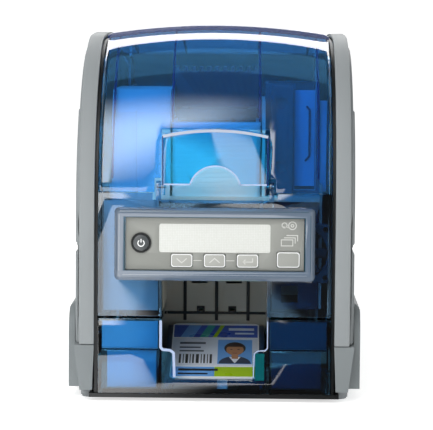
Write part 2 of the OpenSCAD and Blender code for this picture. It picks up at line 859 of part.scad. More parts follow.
module output_hopper() {
    part_in = bay_half;
    front_cut = 3;
    back = face_y + drawer_d;
    side_in = blue_half - skin;
    color([0.06, 0.36, 0.7, 0.5]) placed() difference() {
        union() {
            slab_y(face_y, face_y + skin) union() {
                rounded(-blue_half, -part_in, drawer_low, drawer_top, 1);
                rounded(part_in, blue_half, drawer_low, drawer_top, 1);
                rounded(-part_in - 4, -tab_gap, drawer_low, tab_top, front_cut);
                rounded(tab_gap, part_in + 4, drawer_low, tab_top, front_cut);
                translate([-blue_half, drawer_low]) square([2 * blue_half, sill_z - drawer_low]);
            }
            block(-blue_half, blue_half, face_y, back, drawer_low, drawer_low + skin);
            both_sides() block(side_in, blue_half, face_y, back, drawer_low, drawer_top - 2);
            both_sides() block(part_in, part_in + skin, face_y, back, drawer_low, drawer_top - 2);
            both_sides() block(part_in, blue_half, face_y + 1, face_y + 16, 30, 31.2);
            block(2, 8, face_y, face_y + 4, drawer_low, sill_z);
        }
        both_sides() block(part_in + skin + 6, side_in - 6, face_y + 30, back - 10, 0, 10);
    }
}

module card_tray() {
    back = face_y + drawer_d - 2;
    floor_z = drawer_low + skin;
    y1 = card_y0 + card_l * cos(tray_slope);
    low = card_z0 - 0.1;
    rise = (y1 - card_y0 + 4) * tan(tray_slope);
    color("#1b2c44") placed() {
        slab_x(-bay_half + 1, bay_half - 1) polygon([
            [card_y0 - 4, low - 4 * tan(tray_slope)], [y1, low + (y1 - card_y0) * tan(tray_slope)],
            [y1, low + (y1 - card_y0) * tan(tray_slope) - 2], [card_y0 - 4, low - 4 * tan(tray_slope) - 2]
        ]);
        both_sides() slab_x(bay_half - 4, bay_half - 2) polygon([
            [card_y0 - 4, floor_z], [y1, floor_z],
            [y1, low - 1 - 4 * tan(tray_slope) + rise], [card_y0 - 4, low - 1 - 4 * tan(tray_slope)]
        ]);
        both_sides() difference() {
            block(bay_half + skin + 1, blue_half - skin - 3, face_y + 8, face_y + 26, floor_z, 29);
            block(bay_half + skin + 3, blue_half - skin - 5, face_y + 10, face_y + 24, floor_z + 2, 30);
        }
    }
}

module printed_card() {
    color("#f2f4f8") placed() translate([0, card_y0, card_z0 + 0.02]) rotate([tray_slope, 0, 0])
        slab_z(0, card_t) card_outline();
}

// ---------- print engine ----------

module engine_plate() {
    slab_x(plate_in, plate_out) difference() {
        union() {
            translate([wall_y + 3, tray_top]) square([plate_back - wall_y - 3, 150 - tray_top]);
            translate([plate_front, 53]) square([wall_y, 92 - 17]);
            translate([supply_y + 70, 140]) square([plate_back - supply_y - 70, 40]);
            translate([plate_back - 1, roller_z - 10]) square([relay_y - plate_back + 10, 24]);
        }
        for (y = [exit_y, transport_y, platen_y, feed_y, relay_y]) {
            translate([y, roller_z]) circle(shaft_r + run);
        }
        translate([entry_y, entry_z]) circle(shaft_r + run);
        translate([pivot_y, pivot_z]) circle(shaft_r);
        translate([takeup_y, spool_z]) circle(shaft_r + run);
        for (y = [150 : 34 : 218]) translate([y, 28]) circle(9);
        translate([50, 70]) circle(8);
        translate([80, 90]) circle(8);
    }
}

module engine_plate_left() {
    color("#aeb3b6") placed() difference() {
        mirror([1, 0, 0]) engine_plate();
        rod_x(-plate_out - 1, -plate_in + 1, platen_y, card_motor_z, 6.5);
    }
}

module engine_plate_right() {
    color("#aeb3b6") placed() difference() {
        engine_plate();
        rod_x(plate_in - 1, plate_out + 1, takeup_y, ribbon_motor_z, 6.5);
    }
}

module crossbars() {
    color("#c2c6c8") placed() {
        rod_x(-plate_out, plate_out, pivot_y, pivot_z, shaft_r);
        for (p = [[128, 142], [330, 142], [325, 60], [128, 60]]) {
            rod_x(-plate_in, plate_in, p[0], p[1], 4);
        }
    }
}

module entry_guide() {
    y0 = guide_y;
    z0 = hopper_z - 1;
    y1 = guide_end;
    z1 = path_z + 4;
    color("#3b4043") placed() difference() {
        union() {
            slab_x(-plate_in, plate_in) polygon([
                [y0, z0], [y1, z1], [y1, z1 - 1.6], [y0, z0 - 1.6]
            ]);
            slab_x(-30, 30) polygon([
                [y0 + 4, z0 + 4.2], [y1, z1 + 4.2 - 1.4], [y1, z1 + 5.8 - 1.4], [y0 + 4, z0 + 5.8]
            ]);
            both_sides() slab_x(28.5, 30) polygon([
                [y0 + 4, z0 - 2], [y1, z1 - 1], [y1, z1 + 4.2], [y0 + 4, z0 + 5]
            ]);
        }
        for (x = [-20, 0, 20]) block(x - 4, x + 4, y0 + 20, y1 - 20, 60, 140);
    }
}

// A roller on its shaft, with a pulley outside the right plate.
module drive_roller(y, left_end) {
    rod_x(-29, 29, y, roller_z, roller_r);
    rod_x(left_end, gear_in + gear_w, y, roller_z, shaft_r);
    difference() {
        rod_x(gear_in, gear_in + gear_w, y, roller_z, pulley_r);
        for (a = [0 : 60 : 300]) {
            rod_x(gear_in - 1, gear_in + gear_w + 1, y + 6 * cos(a), roller_z + 6 * sin(a), 1.2);
        }
    }
}

module exit_roller() {
    color("#2c2f31") placed() drive_roller(exit_y, -plate_out - 1);
}

module feed_roller() {
    color("#2c2f31") placed() drive_roller(feed_y, -plate_out - 1);
}

module transport_roller() {
    color("#2c2f31") placed() drive_roller(transport_y, -plate_out - 1);
}

module relay_roller() {
    color("#2c2f31") placed() drive_roller(relay_y, -plate_out - 1);
}

// The roller in the entry guide's slots, whose small pulley gives it the same card speed.
module entry_roller() {
    color("#2c2f31") placed() {
        rod_x(-plate_out - 1, gear_in + gear_w, entry_y, entry_z, shaft_r);
        for (x = [-20, 0, 20]) rod_x(x - 3.5, x + 3.5, entry_y, entry_z, entry_r);
        rod_x(gear_in, gear_in + gear_w, entry_y, entry_z, entry_pulley_r);
    }
}

module platen_roller() {
    color("#25282a") placed() {
        drive_roller(platen_y, -gear_in - gear_w);
        gear(-gear_in - gear_w, platen_y, roller_z, big_teeth, 0, shaft_r - 0.1);
    }
}

module belt_loop(grow) {
    hull() {
        for (y = [exit_y, relay_y]) translate([y, roller_z]) circle(pulley_r + grow);
        translate([entry_y, entry_z]) circle(entry_pulley_r + grow);
    }
}

module drive_belt() {
    color("#1a1b1c") placed() slab_x(gear_in + 0.2, gear_in + gear_w - 0.2) difference() {
        belt_loop(clear + belt_t);
        belt_loop(clear);
    }
}

// A stepper motor whose face is at x0 and whose shaft points along +X; the body is len long.
module stepper(x0, y, z, len) {
    h = motor_w / 2;
    difference() {
        union() {
            translate([x0 - len, 0, 0]) rotate([90, 0, 90]) linear_extrude(len)
                intersection() {
                    translate([y - h, z - h]) square(motor_w);
                    translate([y, z]) rotate(45) square(motor_w * 1.28, center = true);
                }
            rod_x(x0 - 0.1, x0 + 0.9, y, z, 6);
        }
        for (i = [-1, 1], j = [-1, 1]) rod_x(x0 - 4, x0 + 1, y + i * 15.5, z + j * 15.5, 1.5);
        rod_x(x0 - len + 3, x0 + 2, y, z, 2.5 + run);
    }
}

module stepper_motors() {
    color("#3e4245") placed() {
        mirror([1, 0, 0]) stepper(plate_in, platen_y, card_motor_z, plate_in - 31);
        stepper(plate_in, takeup_y, ribbon_motor_z, 26);
        stepper(-38, flip_y, flip_motor_z, 26);
    }
}

// A pinion on its motor shaft; x0 is the gear's near end and x1 the shaft's far end.
module pinion(x0, x1, y, z, phase) {
    gear(x0, y, z, pinion_teeth, phase, 2.4);
    rod_x(min(x0, x1), max(x0 + gear_w, x1), y, z, 2.5);
}

half_tooth = 180 / pinion_teeth;

module card_pinion() {
    color("#c9a34a") placed()
        pinion(-gear_in - gear_w, -36, platen_y, card_motor_z, 90 + half_tooth);
}

module ribbon_pinion() {
    color("#c9a34a") placed()
        pinion(gear_in, plate_in - 22, takeup_y, ribbon_motor_z, 270 + half_tooth);
}

module flipper_pinion() {
    color("#c9a34a") placed()
        pinion(-36, -38 - 22, flip_y, flip_motor_z, 270 + half_tooth);
}

module printhead() {
    tip_z = path_z + 2;
    color("#9ea3a6") placed() difference() {
        union() {
            block(-29, 29, head_y - 2.5, head_y + 2.5, tip_z, tip_z + 8);
            block(-29, 29, head_y - 8, head_y + 14, tip_z + 6, tip_z + 9);
            for (x = [-28 : 4 : 28]) block(x - 0.6, x + 0.6, head_y - 8, head_y + 12, tip_z + 8, tip_z + 22);
            both_sides() block(27, 29, head_y - 8, pivot_y, tip_z + 7, pivot_z + 2);
            rod_x(-29, 29, pivot_y, pivot_z, 6);
        }
        rod_x(-30, 30, pivot_y, pivot_z, shaft_r + run);
    }
}

module cartridge_frame() {
    low = spool_z - 20;
    high = spool_z + 22;
    color("#1f4f8f") placed() {
        difference() {
            both_sides() slab_x(cart_in, cart_out) union() {
                translate([supply_y - 20, low]) square([40, high - low]);
                translate([takeup_y - 20, low]) square([40, high - low]);
                translate([supply_y, high - 12]) square([takeup_y - supply_y, 12]);
            }
            rod_x(-60, 60, supply_y, spool_z, 6 + run);
            rod_x(-60, 60, takeup_y, spool_z, 6 + run);
        }
        for (y = [supply_y, takeup_y]) block(-cart_in, cart_in, y - 6, y + 6, high - 2, high);
        block(-cart_in, cart_in, platen_y - 8, platen_y + 8, high - 2, high);
    }
}

module spool(y, wound) {
    rod_x(-cart_out, cart_out, y, spool_z, 6);
    rod_x(-spool_half, spool_half, y, spool_z, wound);
    both_sides() rod_x(spool_half, spool_half + 1.5, y, spool_z, spool_r);
}

module supply_spool() {
    color("#d9a520") placed() spool(supply_y, supply_wound);
}

module takeup_spool() {
    color("#3a3030") placed() {
        spool(takeup_y, takeup_wound);
        rod_x(0, gear_in + gear_w, takeup_y, spool_z, shaft_r);
        gear(gear_in, takeup_y, spool_z, big_teeth, 0, shaft_r - 0.1);
    }
}

// A straight stretch of film between two points of the side view.
module film(a, b) {
    run_l = norm(b - a);
    slope = atan2(b[1] - a[1], b[0] - a[0]);
    slab_x(-26.5, 26.5) translate(a) rotate(slope) translate([0, -0.1]) square([run_l, 0.2]);
}

module ribbon() {
    low = path_z + 1.3;
    p0 = [supply_y, spool_z - supply_wound - 0.4];
    p1 = [platen_y - 14, path_z + 11];
    p2 = [platen_y - 5, low];
    p3 = [platen_y + 5, low];
    p4 = [platen_y + 17, path_z + 5];
    p5 = [takeup_y, spool_z - takeup_wound - 0.4];
    color("#1d1a1c") placed() {
        film(p0, p1);
        film(p1, p2);
        film(p2, p3);
        film(p3, p4);
        film(p4, p5);
    }
}

// ---------- electronics ----------

module main_board() {
    color("#1b6a3f") placed() {
        block(-board_half, board_half, board_front, board_back, board_z, board_z + 1.6);
        block(-40, -22, 140, 170, 13.6, 22);
        block(10, 26, 150, 166, 13.6, 16);
        block(-50, -44, 200, 240, 13.6, 20);
        block(20, 44, 200, 224, 13.6, 24);
        for (i = [0 : 3]) rod_z(-10 + 9 * i, 262, 13.6, 26, 3.5);
        block(40, 54, 130, 160, 13.6, 19);
        block(-20, 10, 180, 184, 13.6, 20);
    }
}

module power_supply() {
    color("#a6abad") placed() difference() {
        block(-32, 12, plate_back + 3, body_l - 10, tray_top, 64);
        block(-30, 10, plate_back + 5, body_l - 12, tray_top + 2, 62);
        for (x = [-26 : 6 : 4]) block(x, x + 3, plate_back + 8, body_l - 16, 60, 70);
    }
}

module fan_housing() {
    color("#15181b") placed() difference() {
        slab_y(fan_front, fan_back)
            rounded(fan_x - fan_half, fan_x + fan_half, fan_z - fan_half, fan_z + fan_half, 3);
        rod_y(fan_x, fan_front - 1, fan_back - 1.5, fan_z, fan_half - 1.4);
        for (x = [-14.5, 14.5], z = [-14.5, 14.5]) {
            rod_y(fan_x + x, fan_front - 1, fan_back + 1, fan_z + z, 1.7);
        }
        difference() {
            rod_y(fan_x, fan_front, fan_back + 1, fan_z, fan_half - 1.4);
            rod_y(fan_x, fan_front, fan_back + 2, fan_z, 8.5);
            for (a = [0 : 90 : 270]) translate([fan_x, 0, fan_z]) rotate([0, a, 0])
                block(0, fan_half, fan_back - 1.5, fan_back + 2, -1.2, 1.2);
        }
    }
}

module fan_rotor() {
    color("#20262b") placed() translate([fan_x, 0, fan_z]) {
        rod_y(0, fan_front + 1, fan_back - 1.8, 0, 8);
        for (a = [0 : 51.4286 : 350]) rotate([0, a, 0]) translate([7, fan_front + 4.2, 0])
            rotate([35, 0, 0]) block(0, fan_half - 9.1, -0.5, 0.5, -3.4, 3.4);
    }
}

module rear_connectors() {
    color("#1a1d1f") placed() {
        difference() {
            block(-62 + clear / 2, -62 + 27.6 - clear / 2, body_l - 24, body_l + 1, 11.4, 31);
            block(-58.5, -37.9, body_l - 14, body_l + 2, 14.5, 27.9);
        }
        for (x = [-54, -48.2, -42.4]) block(x - 1, x + 1, body_l - 15, body_l - 1, 20.5, 24.5);
        difference() {
            block(14.9, 27.1, body_l - 16, body_l + 0.5, 13.9, 25.1);
            block(17, 25, body_l - 9, body_l + 1, 15.6, 23.4);
        }
        difference() {
            block(33.9, 50.1, body_l - 20, body_l + 0.5, 12.9, 27.1);
            block(36.2, 47.8, body_l - 13, body_l + 1, 15, 24);
        }
        block(19, 23, body_l - 10, body_l - 1, 18.4, 20.6);
    }
}

// ---------- duplex module ----------

// The module's side view from z0 to z1, set back by inset.
module duplex_outline(inset, z0, z1) {
    top_r2 = 18;
    y0 = body_l + inset + 0.3;
    y1 = body_l + duplex_l - inset;
    intersection() {
        rounded(y0 - 30, y1, duplex_z + inset, duplex_top - inset, top_r2 - inset);
        translate([y0, z0]) square([y1 - y0, z1 - z0]);
    }
}

module duplex_case() {
    wall = 2.5;
    high = lid_z;
    color("#7d8285") placed() {
        difference() {
            slab_x(-duplex_half, duplex_half) duplex_outline(0, 0, high);
            slab_x(-duplex_half + wall, duplex_half - wall) duplex_outline(wall, 0, high + 1);
            block(-30, 30, body_l - 1, body_l + 5, path_z - 5, path_z + 5);
            for (x = [-40 : 10 : 30]) {
                block(x, x + 5, flip_y - 20, flip_y + 20, 0, duplex_z + wall + 1);
            }
        }
        both_sides() difference() {
            union() {
                block(ear_in, ear_out, lid_y - lid_r, lid_y + 1.5, high - 12, lid_axis_z);
                rod_x(ear_in, ear_out, lid_y, lid_axis_z, lid_r);
            }
            rod_x(ear_in - 1, ear_out + 1, lid_y, lid_axis_z, lid_pin_r + run);
        }
    }
}

module duplex_frame() {
    plate = 1.5;
    color("#aeb3b6") placed() {
        difference() {
            union() {
                block(-38, -36.5, flip_y - 50, flip_y + 52, duplex_z + 2.5, 140);
                block(36.5, 38, flip_y - 50, flip_y + 52, duplex_z + 2.5, 140);
                block(-36.6, 36.6, flip_y + 50.5, flip_y + 52, duplex_z + 2.5, 132);
            }
            rod_x(-60, 60, flip_y, path_z, 4 + run);
            rod_x(-40, -35, flip_y, flip_motor_z, 6.5);
        }
        both_sides() difference() {
            rod_x(38, 42, flip_y, path_z, 8);
            rod_x(37, 43, flip_y, path_z, 4 + run);
        }
    }
}

module flipper() {
    color("#55606a") placed() {
        difference() {
            union() {
                both_sides() rod_x(28.6, 30.6, flip_y, path_z, 36);
                block(-29, 29, flip_y - 36, flip_y + 36, path_z + 1.6, path_z + 3.2);
                block(-29, 29, flip_y - 36, flip_y + 36, path_z - 3.2, path_z - 1.6);
                both_sides() rod_x(30, 43, flip_y, path_z, 4);
            }
            rod_x(-27, 27, flip_y - 18, path_z + 9, 8.3);
            rod_x(-27, 27, flip_y + 18, path_z + 9, 8.3);
            both_sides() block(26, 32, flip_y - 40, flip_y + 40, path_z - 1.6, path_z + 1.6);
        }
        rod_x(-27.4, 27.4, flip_y - 18, path_z + 8.6, 7.8);
        rod_x(-27.4, 27.4, flip_y + 18, path_z + 8.6, 7.8);
        gear(-36, flip_y, path_z, flip_teeth, 0, 3.9);
    }
}

module duplex_cover() {
    wall = 2.5;
    low = lid_z + clear;
    color("#1a2f55") placed() {
        difference() {
            union() {
                slab_x(-duplex_half, duplex_half) intersection() {
                    duplex_outline(0, low, total_h);
                    translate([0, low]) square([lid_y, total_h]);
                }
                slab_x(-duplex_half, duplex_half) intersection() {
                    duplex_outline(0, low + lid_r, total_h);
                    square([lid_y + lid_r, total_h]);
                }
                both_sides() rod_x(duplex_half - 6, duplex_half, lid_y, lid_axis_z, lid_r);
            }
            both_sides() {
                block(ear_in - clear, ear_out + clear, lid_y - lid_r - 0.5, lid_y + 9, 0, lid_axis_z);
                rod_x(ear_in - clear, ear_out + clear, lid_y, lid_axis_z, lid_r + 0.5);
            }
            slab_x(-duplex_half + wall, duplex_half - wall) intersection() {
                duplex_outline(wall, 0, total_h);
                translate([0, 0]) square([lid_y - lid_r - 1, total_h]);
            }
            both_sides() rod_x(ear_in, duplex_half - 0.9, lid_y, lid_axis_z, lid_pin_r + run);
        }
    }
}

base_tray();
feet();
skirts();
side_panel_left();
side_panel_right();
side_frames();
front_panel();
display_bezel();
display_plate();
lcd_window();
power_ring();
control_board();
exit_bay();
hopper_frame();
hopper_side_block();
blank_cards();
engine_plate_left();
engine_plate_right();
crossbars();
entry_guide();
stepper_motors();
cartridge_frame();
ribbon();
main_board();
power_supply();
fan_housing();
rear_connectors();
rear_cover();
rear_wall();
duplex_case();
duplex_frame();
pins_and_screws();
drive_belt();
top_cover();
hopper_door();
power_button();
key_down();
key_up();
key_enter();
key_user();
output_hopper();
card_tray();
printed_card();
card_weight();
pick_roller();
platen_roller();
exit_roller();
feed_roller();
transport_roller();
relay_roller();
entry_roller();
card_pinion();
printhead();
supply_spool();
takeup_spool();
ribbon_pinion();
flipper();
flipper_pinion();
fan_rotor();
duplex_cover();
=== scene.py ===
# %% [markdown]
# # Dressing a desktop card printer
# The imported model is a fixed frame: every solid already has its size and place. This notebook gives
# it edges, finishes, a camera and light. Lengths are written in millimetres, as on a drawing, and
# turned to Blender's metres in one place.

# %% Load the frame
import json
import math
import random

import bpy
from mathutils import Matrix, Vector


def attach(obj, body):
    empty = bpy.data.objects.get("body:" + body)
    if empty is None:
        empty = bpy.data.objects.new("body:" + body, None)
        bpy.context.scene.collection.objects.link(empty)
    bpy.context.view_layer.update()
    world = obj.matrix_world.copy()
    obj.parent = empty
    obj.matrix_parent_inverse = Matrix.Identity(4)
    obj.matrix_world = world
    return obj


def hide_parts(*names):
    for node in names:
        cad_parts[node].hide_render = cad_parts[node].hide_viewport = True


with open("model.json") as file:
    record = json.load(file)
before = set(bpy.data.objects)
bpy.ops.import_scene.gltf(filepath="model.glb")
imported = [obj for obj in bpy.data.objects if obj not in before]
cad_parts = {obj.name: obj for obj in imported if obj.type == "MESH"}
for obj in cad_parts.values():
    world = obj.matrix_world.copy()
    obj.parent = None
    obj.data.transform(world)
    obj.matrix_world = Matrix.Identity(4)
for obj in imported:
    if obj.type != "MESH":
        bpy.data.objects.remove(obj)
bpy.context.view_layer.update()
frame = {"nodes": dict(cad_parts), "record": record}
print("nodes in the frame:", len(frame["nodes"]))

# %% [markdown]
# A drawing counts depth from the front of the silver panels. The frame counts it from the middle of
# the footprint, 265 mm further back, so one function turns a place on the drawing into metres.

# %% Drawing to metres
MM = 0.001
FRONT_Y = -265.0


def at(x, y, z):
    return Vector((x * MM, (y + FRONT_Y) * MM, z * MM))


def body_of_node(node):
    bodies = frame["record"]["behaviour"]["bodies"]
    return next(body for body, nodes in bodies.items() if node in nodes)


# %% [markdown]
# ## Camera and light
# The photograph was taken from 1.4 m with a long lens, under five degrees above the table and nearly
# straight on. The cover's top edge, 104 mm deep, looks 7% smaller than the front, which gives that
# distance. At the front 1.69 pixels are one millimetre, which gives the lens.

# %% Camera
PHOTO_WIDTH_PX = 433
PX_PER_MM = 1.69
distance = 1.4
azimuth, elevation, roll = math.radians(0.8), math.radians(4.7), math.radians(0.45)
aim = at(0.9, 0, 111.3)
back = Vector((
    math.sin(azimuth) * math.cos(elevation), -math.cos(azimuth) * math.cos(elevation), math.sin(elevation)
))
bpy.ops.object.select_all(action="DESELECT")
bpy.ops.object.camera_add(location=aim + distance * back)
camera = bpy.context.object
camera.name = "photo_camera"
camera.rotation_mode = "QUATERNION"
turn = (-back).to_track_quat("-Z", "Y")
camera.rotation_quaternion = turn @ Matrix.Rotation(roll, 3, "Z").to_quaternion()
camera.data.sensor_width = 36.0
camera.data.lens = 36.0 * distance / (PHOTO_WIDTH_PX / PX_PER_MM * MM)
camera.data.clip_end = 50
bpy.context.scene.camera = camera
bpy.context.scene.view_settings.view_transform = "Standard"
print("lens in mm:", round(camera.data.lens))


# %% [markdown]
# Nodes are wired by one small function: it sets what the node has, its plain input values, and the
# wires that come in. Colours are written as in a paint program and turned to linear light.

# %% Two small helpers for materials
def linear(hex_code):
    parts = [int(hex_code[i:i + 2], 16) / 255 for i in (1, 3, 5)]
    return tuple(c / 12.92 if c <= 0.04045 else ((c + 0.055) / 1.055) ** 2.4 for c in parts) + (1.0,)


def add_node(tree, kind, wires=None, values=None, **settings):
    made = tree.nodes.new(kind)
    for name, value in settings.items():
        setattr(made, name, value)
    for socket, value in (values or {}).items():
        made.inputs[socket].default_value = value
    for socket, source in (wires or {}).items():
        tree.links.new(source, made.inputs[socket])
    return made


# %% [markdown]
# The studio is a white sweep. The world lights the object softly from everywhere, and shows as white
# to the camera and through the clear parts. Gloss sees a studio: white behind the object up to about
# 45 degrees, nearly black in front and overhead, so the clear parts keep their deep colour.

# %% World
FILL, DARK_STUDIO = 0.38, 0.05
world = bpy.data.worlds.new("white_studio")
bpy.context.scene.world = world
world.use_nodes = True
sky = world.node_tree
sky.nodes.clear()
ray = add_node(sky, "ShaderNodeLightPath")
heading = add_node(sky, "ShaderNodeTexCoord")
split = add_node(sky, "ShaderNodeSeparateXYZ", wires={"Vector": heading.outputs["Generated"]})
ceiling = add_node(sky, "ShaderNodeMapRange", wires={"Value": split.outputs["Z"]}, values={
    "From Min": 0.66, "From Max": 0.72, "To Min": 1.0, "To Max": 0.0
}, interpolation_type="SMOOTHSTEP")
behind = add_node(sky, "ShaderNodeMapRange", wires={"Value": split.outputs["Y"]}, values={
    "From Min": -0.1, "From Max": 0.1, "To Min": 0.0, "To Max": 1.0
}, interpolation_type="SMOOTHSTEP")
sweep = add_node(sky, "ShaderNodeMath", operation="MULTIPLY", wires={
    0: ceiling.outputs["Result"], 1: behind.outputs["Result"]
})
studio = add_node(sky, "ShaderNodeMath", operation="MAXIMUM", wires={0: sweep.outputs[0]},
                  values={1: DARK_STUDIO})
fill = add_node(sky, "ShaderNodeBackground", values={"Color": (1, 1, 1, 1), "Strength": FILL})
seen = add_node(sky, "ShaderNodeBackground", values={"Color": (1, 1, 1, 1), "Strength": 1.0})
gloss = add_node(sky, "ShaderNodeBackground", values={"Color": (1, 1, 1, 1)},
                 wires={"Strength": studio.outputs[0]})
in_gloss = add_node(sky, "ShaderNodeMixShader", wires={
    0: ray.outputs["Is Glossy Ray"], 1: fill.outputs[0], 2: gloss.outputs[0]
})
see = add_node(sky, "ShaderNodeMath", operation="MAXIMUM", wires={
    0: ray.outputs["Is Camera Ray"], 1: ray.outputs["Is Transmission Ray"]
})
both = add_node(sky, "ShaderNodeMixShader", wires={
    0: see.outputs[0], 1: in_gloss.outputs[0], 2: seen.outputs[0]
})
add_node(sky, "ShaderNodeOutputWorld", wires={"Surface": both.outputs[0]})


# %% [markdown]
# Four soft boxes model the shape. The key stands high on the left, close enough to be mirrored as a
# pale haze in the left half of the cover; two of its edges are feathered. A wide one hangs behind
# the machine and shows only in gloss: it makes the white band along the top of the cover. The cover
# mirrors more light the flatter it is seen, so that box gets dimmer towards the floor.

# %% Soft boxes
def soft_box(name, place, size, radiance, aim_at=(0, -0.1, 0.12)):
    bpy.ops.object.select_all(action="DESELECT")
    bpy.ops.object.light_add(type="AREA", location=place)
    lamp = bpy.context.object
    lamp.name = name
    lamp.rotation_mode = "QUATERNION"
    lamp.rotation_quaternion = (Vector(aim_at) - Vector(place)).to_track_quat("-Z", "Y")
    lamp.data.shape = "RECTANGLE"
    lamp.data.size, lamp.data.size_y = size
    lamp.data.energy = radiance * math.pi * size[0] * size[1]
    return lamp


def feathered(lamp, *ramps):
    lamp.data.use_nodes = True
    cloth = lamp.data.node_tree
    cloth.nodes.clear()
    spot = add_node(cloth, "ShaderNodeSeparateXYZ", wires={
        "Vector": add_node(cloth, "ShaderNodeNewGeometry").outputs["Parametric"]
    })
    fades = [add_node(cloth, "ShaderNodeMapRange", wires={"Value": spot.outputs[axis]}, values={
        "From Min": start, "From Max": end, "To Min": first, "To Max": last
    }, interpolation_type="SMOOTHSTEP").outputs[0] for axis, start, end, first, last in ramps]
    product = add_node(cloth, "ShaderNodeMath", operation="MULTIPLY", wires={0: fades[0], 1: fades[-1]})
    glow = add_node(cloth, "ShaderNodeEmission", wires={"Strength": product.outputs[0]})
    add_node(cloth, "ShaderNodeOutputLight", wires={"Surface": glow.outputs[0]})
    return lamp


feathered(soft_box("key_box", (-0.28, -1.04, 0.93), (0.66, 1.6), 4.4),
          ("X", 0.72, 1.0, 1.0, 0.0), ("Y", 0.55, 1.0, 1.0, 0.0))
soft_box("fill_box", (1.3, -1.5, 0.7), (0.7, 1.0), 0.8)
top_box = soft_box("top_box", (0.0, 0.3, 1.7), (1.4, 0.8), 1.4)
top_box.visible_glossy = False
band_box = feathered(soft_box("band_box", (0, 1.5, 1.1), (2.6, 1.35), 1.0, aim_at=(0, -0.16, 0.22)),
                     ("Y", 0.0, 1.0, 1.1, 2.1))
band_box.visible_camera = band_box.visible_diffuse = band_box.visible_transmission = False

# %% [markdown]
# The floor is a shallow white sweep that rises far behind the machine and takes the shadow. It glows
# by what the fill lacks, to render as white as the background. Gloss sees the strip in front of the
# machine otherwise: bright on the left, which fogs the clear parts there, and dark on the right.

# %% Floor
FLOOR_M, SWEEP_FROM, STRIP_TO = 9, 1.6, -0.268
LEFT_GLOW, RIGHT_GLOW = 2.6, 0.06
bpy.ops.object.select_all(action="DESELECT")
bpy.ops.mesh.primitive_grid_add(x_subdivisions=2, y_subdivisions=24, size=FLOOR_M, location=(0, 0, 0))
floor = bpy.context.object
floor.name = "studio_floor"
for corner in floor.data.vertices:
    beyond = max(0.0, corner.co.y - SWEEP_FROM)
    corner.co.z = -0.0006 + 0.32 * beyond ** 2
paper = bpy.data.materials.new("white_paper_sweep")
paper.use_nodes = True
paper.node_tree.nodes.clear()
paper_shade = add_node(paper.node_tree, "ShaderNodeBsdfDiffuse", values={"Color": linear("#f4f4f3")})
paper_white = add_node(paper.node_tree, "ShaderNodeEmission", values={
    "Color": (1, 1, 1, 1), "Strength": 1 - FILL
})
paper_both = add_node(paper.node_tree, "ShaderNodeAddShader", wires={
    0: paper_shade.outputs[0], 1: paper_white.outputs[0]
})
where_on_paper = add_node(paper.node_tree, "ShaderNodeSeparateXYZ", wires={
    "Vector": add_node(paper.node_tree, "ShaderNodeTexCoord").outputs["Object"]
})
side_glow = add_node(paper.node_tree, "ShaderNodeMapRange", wires={
    "Value": where_on_paper.outputs["X"]
}, values={
    "From Min": -0.07, "From Max": 0.0, "To Min": LEFT_GLOW, "To Max": RIGHT_GLOW
}, interpolation_type="SMOOTHSTEP")
strip_glow = add_node(paper.node_tree, "ShaderNodeEmission", values={"Color": (1, 1, 1, 1)},
                      wires={"Strength": side_glow.outputs[0]})
in_front = add_node(paper.node_tree, "ShaderNodeMath", operation="LESS_THAN", wires={
    0: where_on_paper.outputs["Y"]
}, values={1: STRIP_TO})
strip_in_gloss = add_node(paper.node_tree, "ShaderNodeMath", operation="MULTIPLY", wires={
    0: in_front.outputs[0], 1: add_node(paper.node_tree, "ShaderNodeLightPath").outputs["Is Glossy Ray"]
})
paper_out = add_node(paper.node_tree, "ShaderNodeMixShader", wires={
    0: strip_in_gloss.outputs[0], 1: paper_both.outputs[0], 2: strip_glow.outputs[0]
})
add_node(paper.node_tree, "ShaderNodeOutputMaterial", wires={"Surface": paper_out.outputs[0]})
floor.data.materials.append(paper)


# %% [markdown]
# ## Finishes
# Nearly everything here is injection-moulded plastic. A mould leaves a fine grain, a slight cloudy
# change of colour over centimetres, and patches that hands have made smoother. One recipe makes all
# of them: colour, gloss, grain size in mm and grain depth are what tell two mouldings apart.

# %% Moulded plastic
FINISH = {}


def moulded(name, colour, roughness, grain_mm=0.6, grain=0.15, cloud=0.06, **sockets):
    finish = bpy.data.materials.new(name)
    finish.use_nodes = True
    tree = finish.node_tree
    tree.nodes.clear()
    place = add_node(tree, "ShaderNodeTexCoord").outputs["Object"]
    patches = add_node(tree, "ShaderNodeTexNoise", wires={"Vector": place}, values={
        "Scale": 1 / (35 * MM), "Detail": 3.0, "Roughness": 0.55
    })
    base = linear(colour)
    shades = add_node(tree, "ShaderNodeMix", data_type="RGBA", wires={0: patches.outputs["Fac"]})
    shades.inputs[6].default_value = tuple(max(0.0, c * (1 - cloud)) for c in base[:3]) + (1.0,)
    shades.inputs[7].default_value = tuple(min(1.0, c * (1 + cloud)) for c in base[:3]) + (1.0,)
    gloss_range = add_node(tree, "ShaderNodeMapRange", wires={"Value": patches.outputs["Fac"]}, values={
        "From Min": 0.3, "From Max": 0.7, "To Min": roughness * 0.88, "To Max": min(1.0, roughness * 1.12)
    })
    pits = add_node(tree, "ShaderNodeTexNoise", wires={"Vector": place}, values={
        "Scale": 1 / (grain_mm * MM), "Detail": 2.0
    })
    bump = add_node(tree, "ShaderNodeBump", wires={"Height": pits.outputs["Fac"]}, values={
        "Strength": grain, "Distance": 0.1 * MM
    })
    shader = add_node(tree, "ShaderNodeBsdfPrincipled", wires={
        "Base Color": shades.outputs[2], "Roughness": gloss_range.outputs[0], "Normal": bump.outputs[0]
    }, values=sockets)
    add_node(tree, "ShaderNodeOutputMaterial", wires={"Surface": shader.outputs[0]})
    FINISH[name] = finish


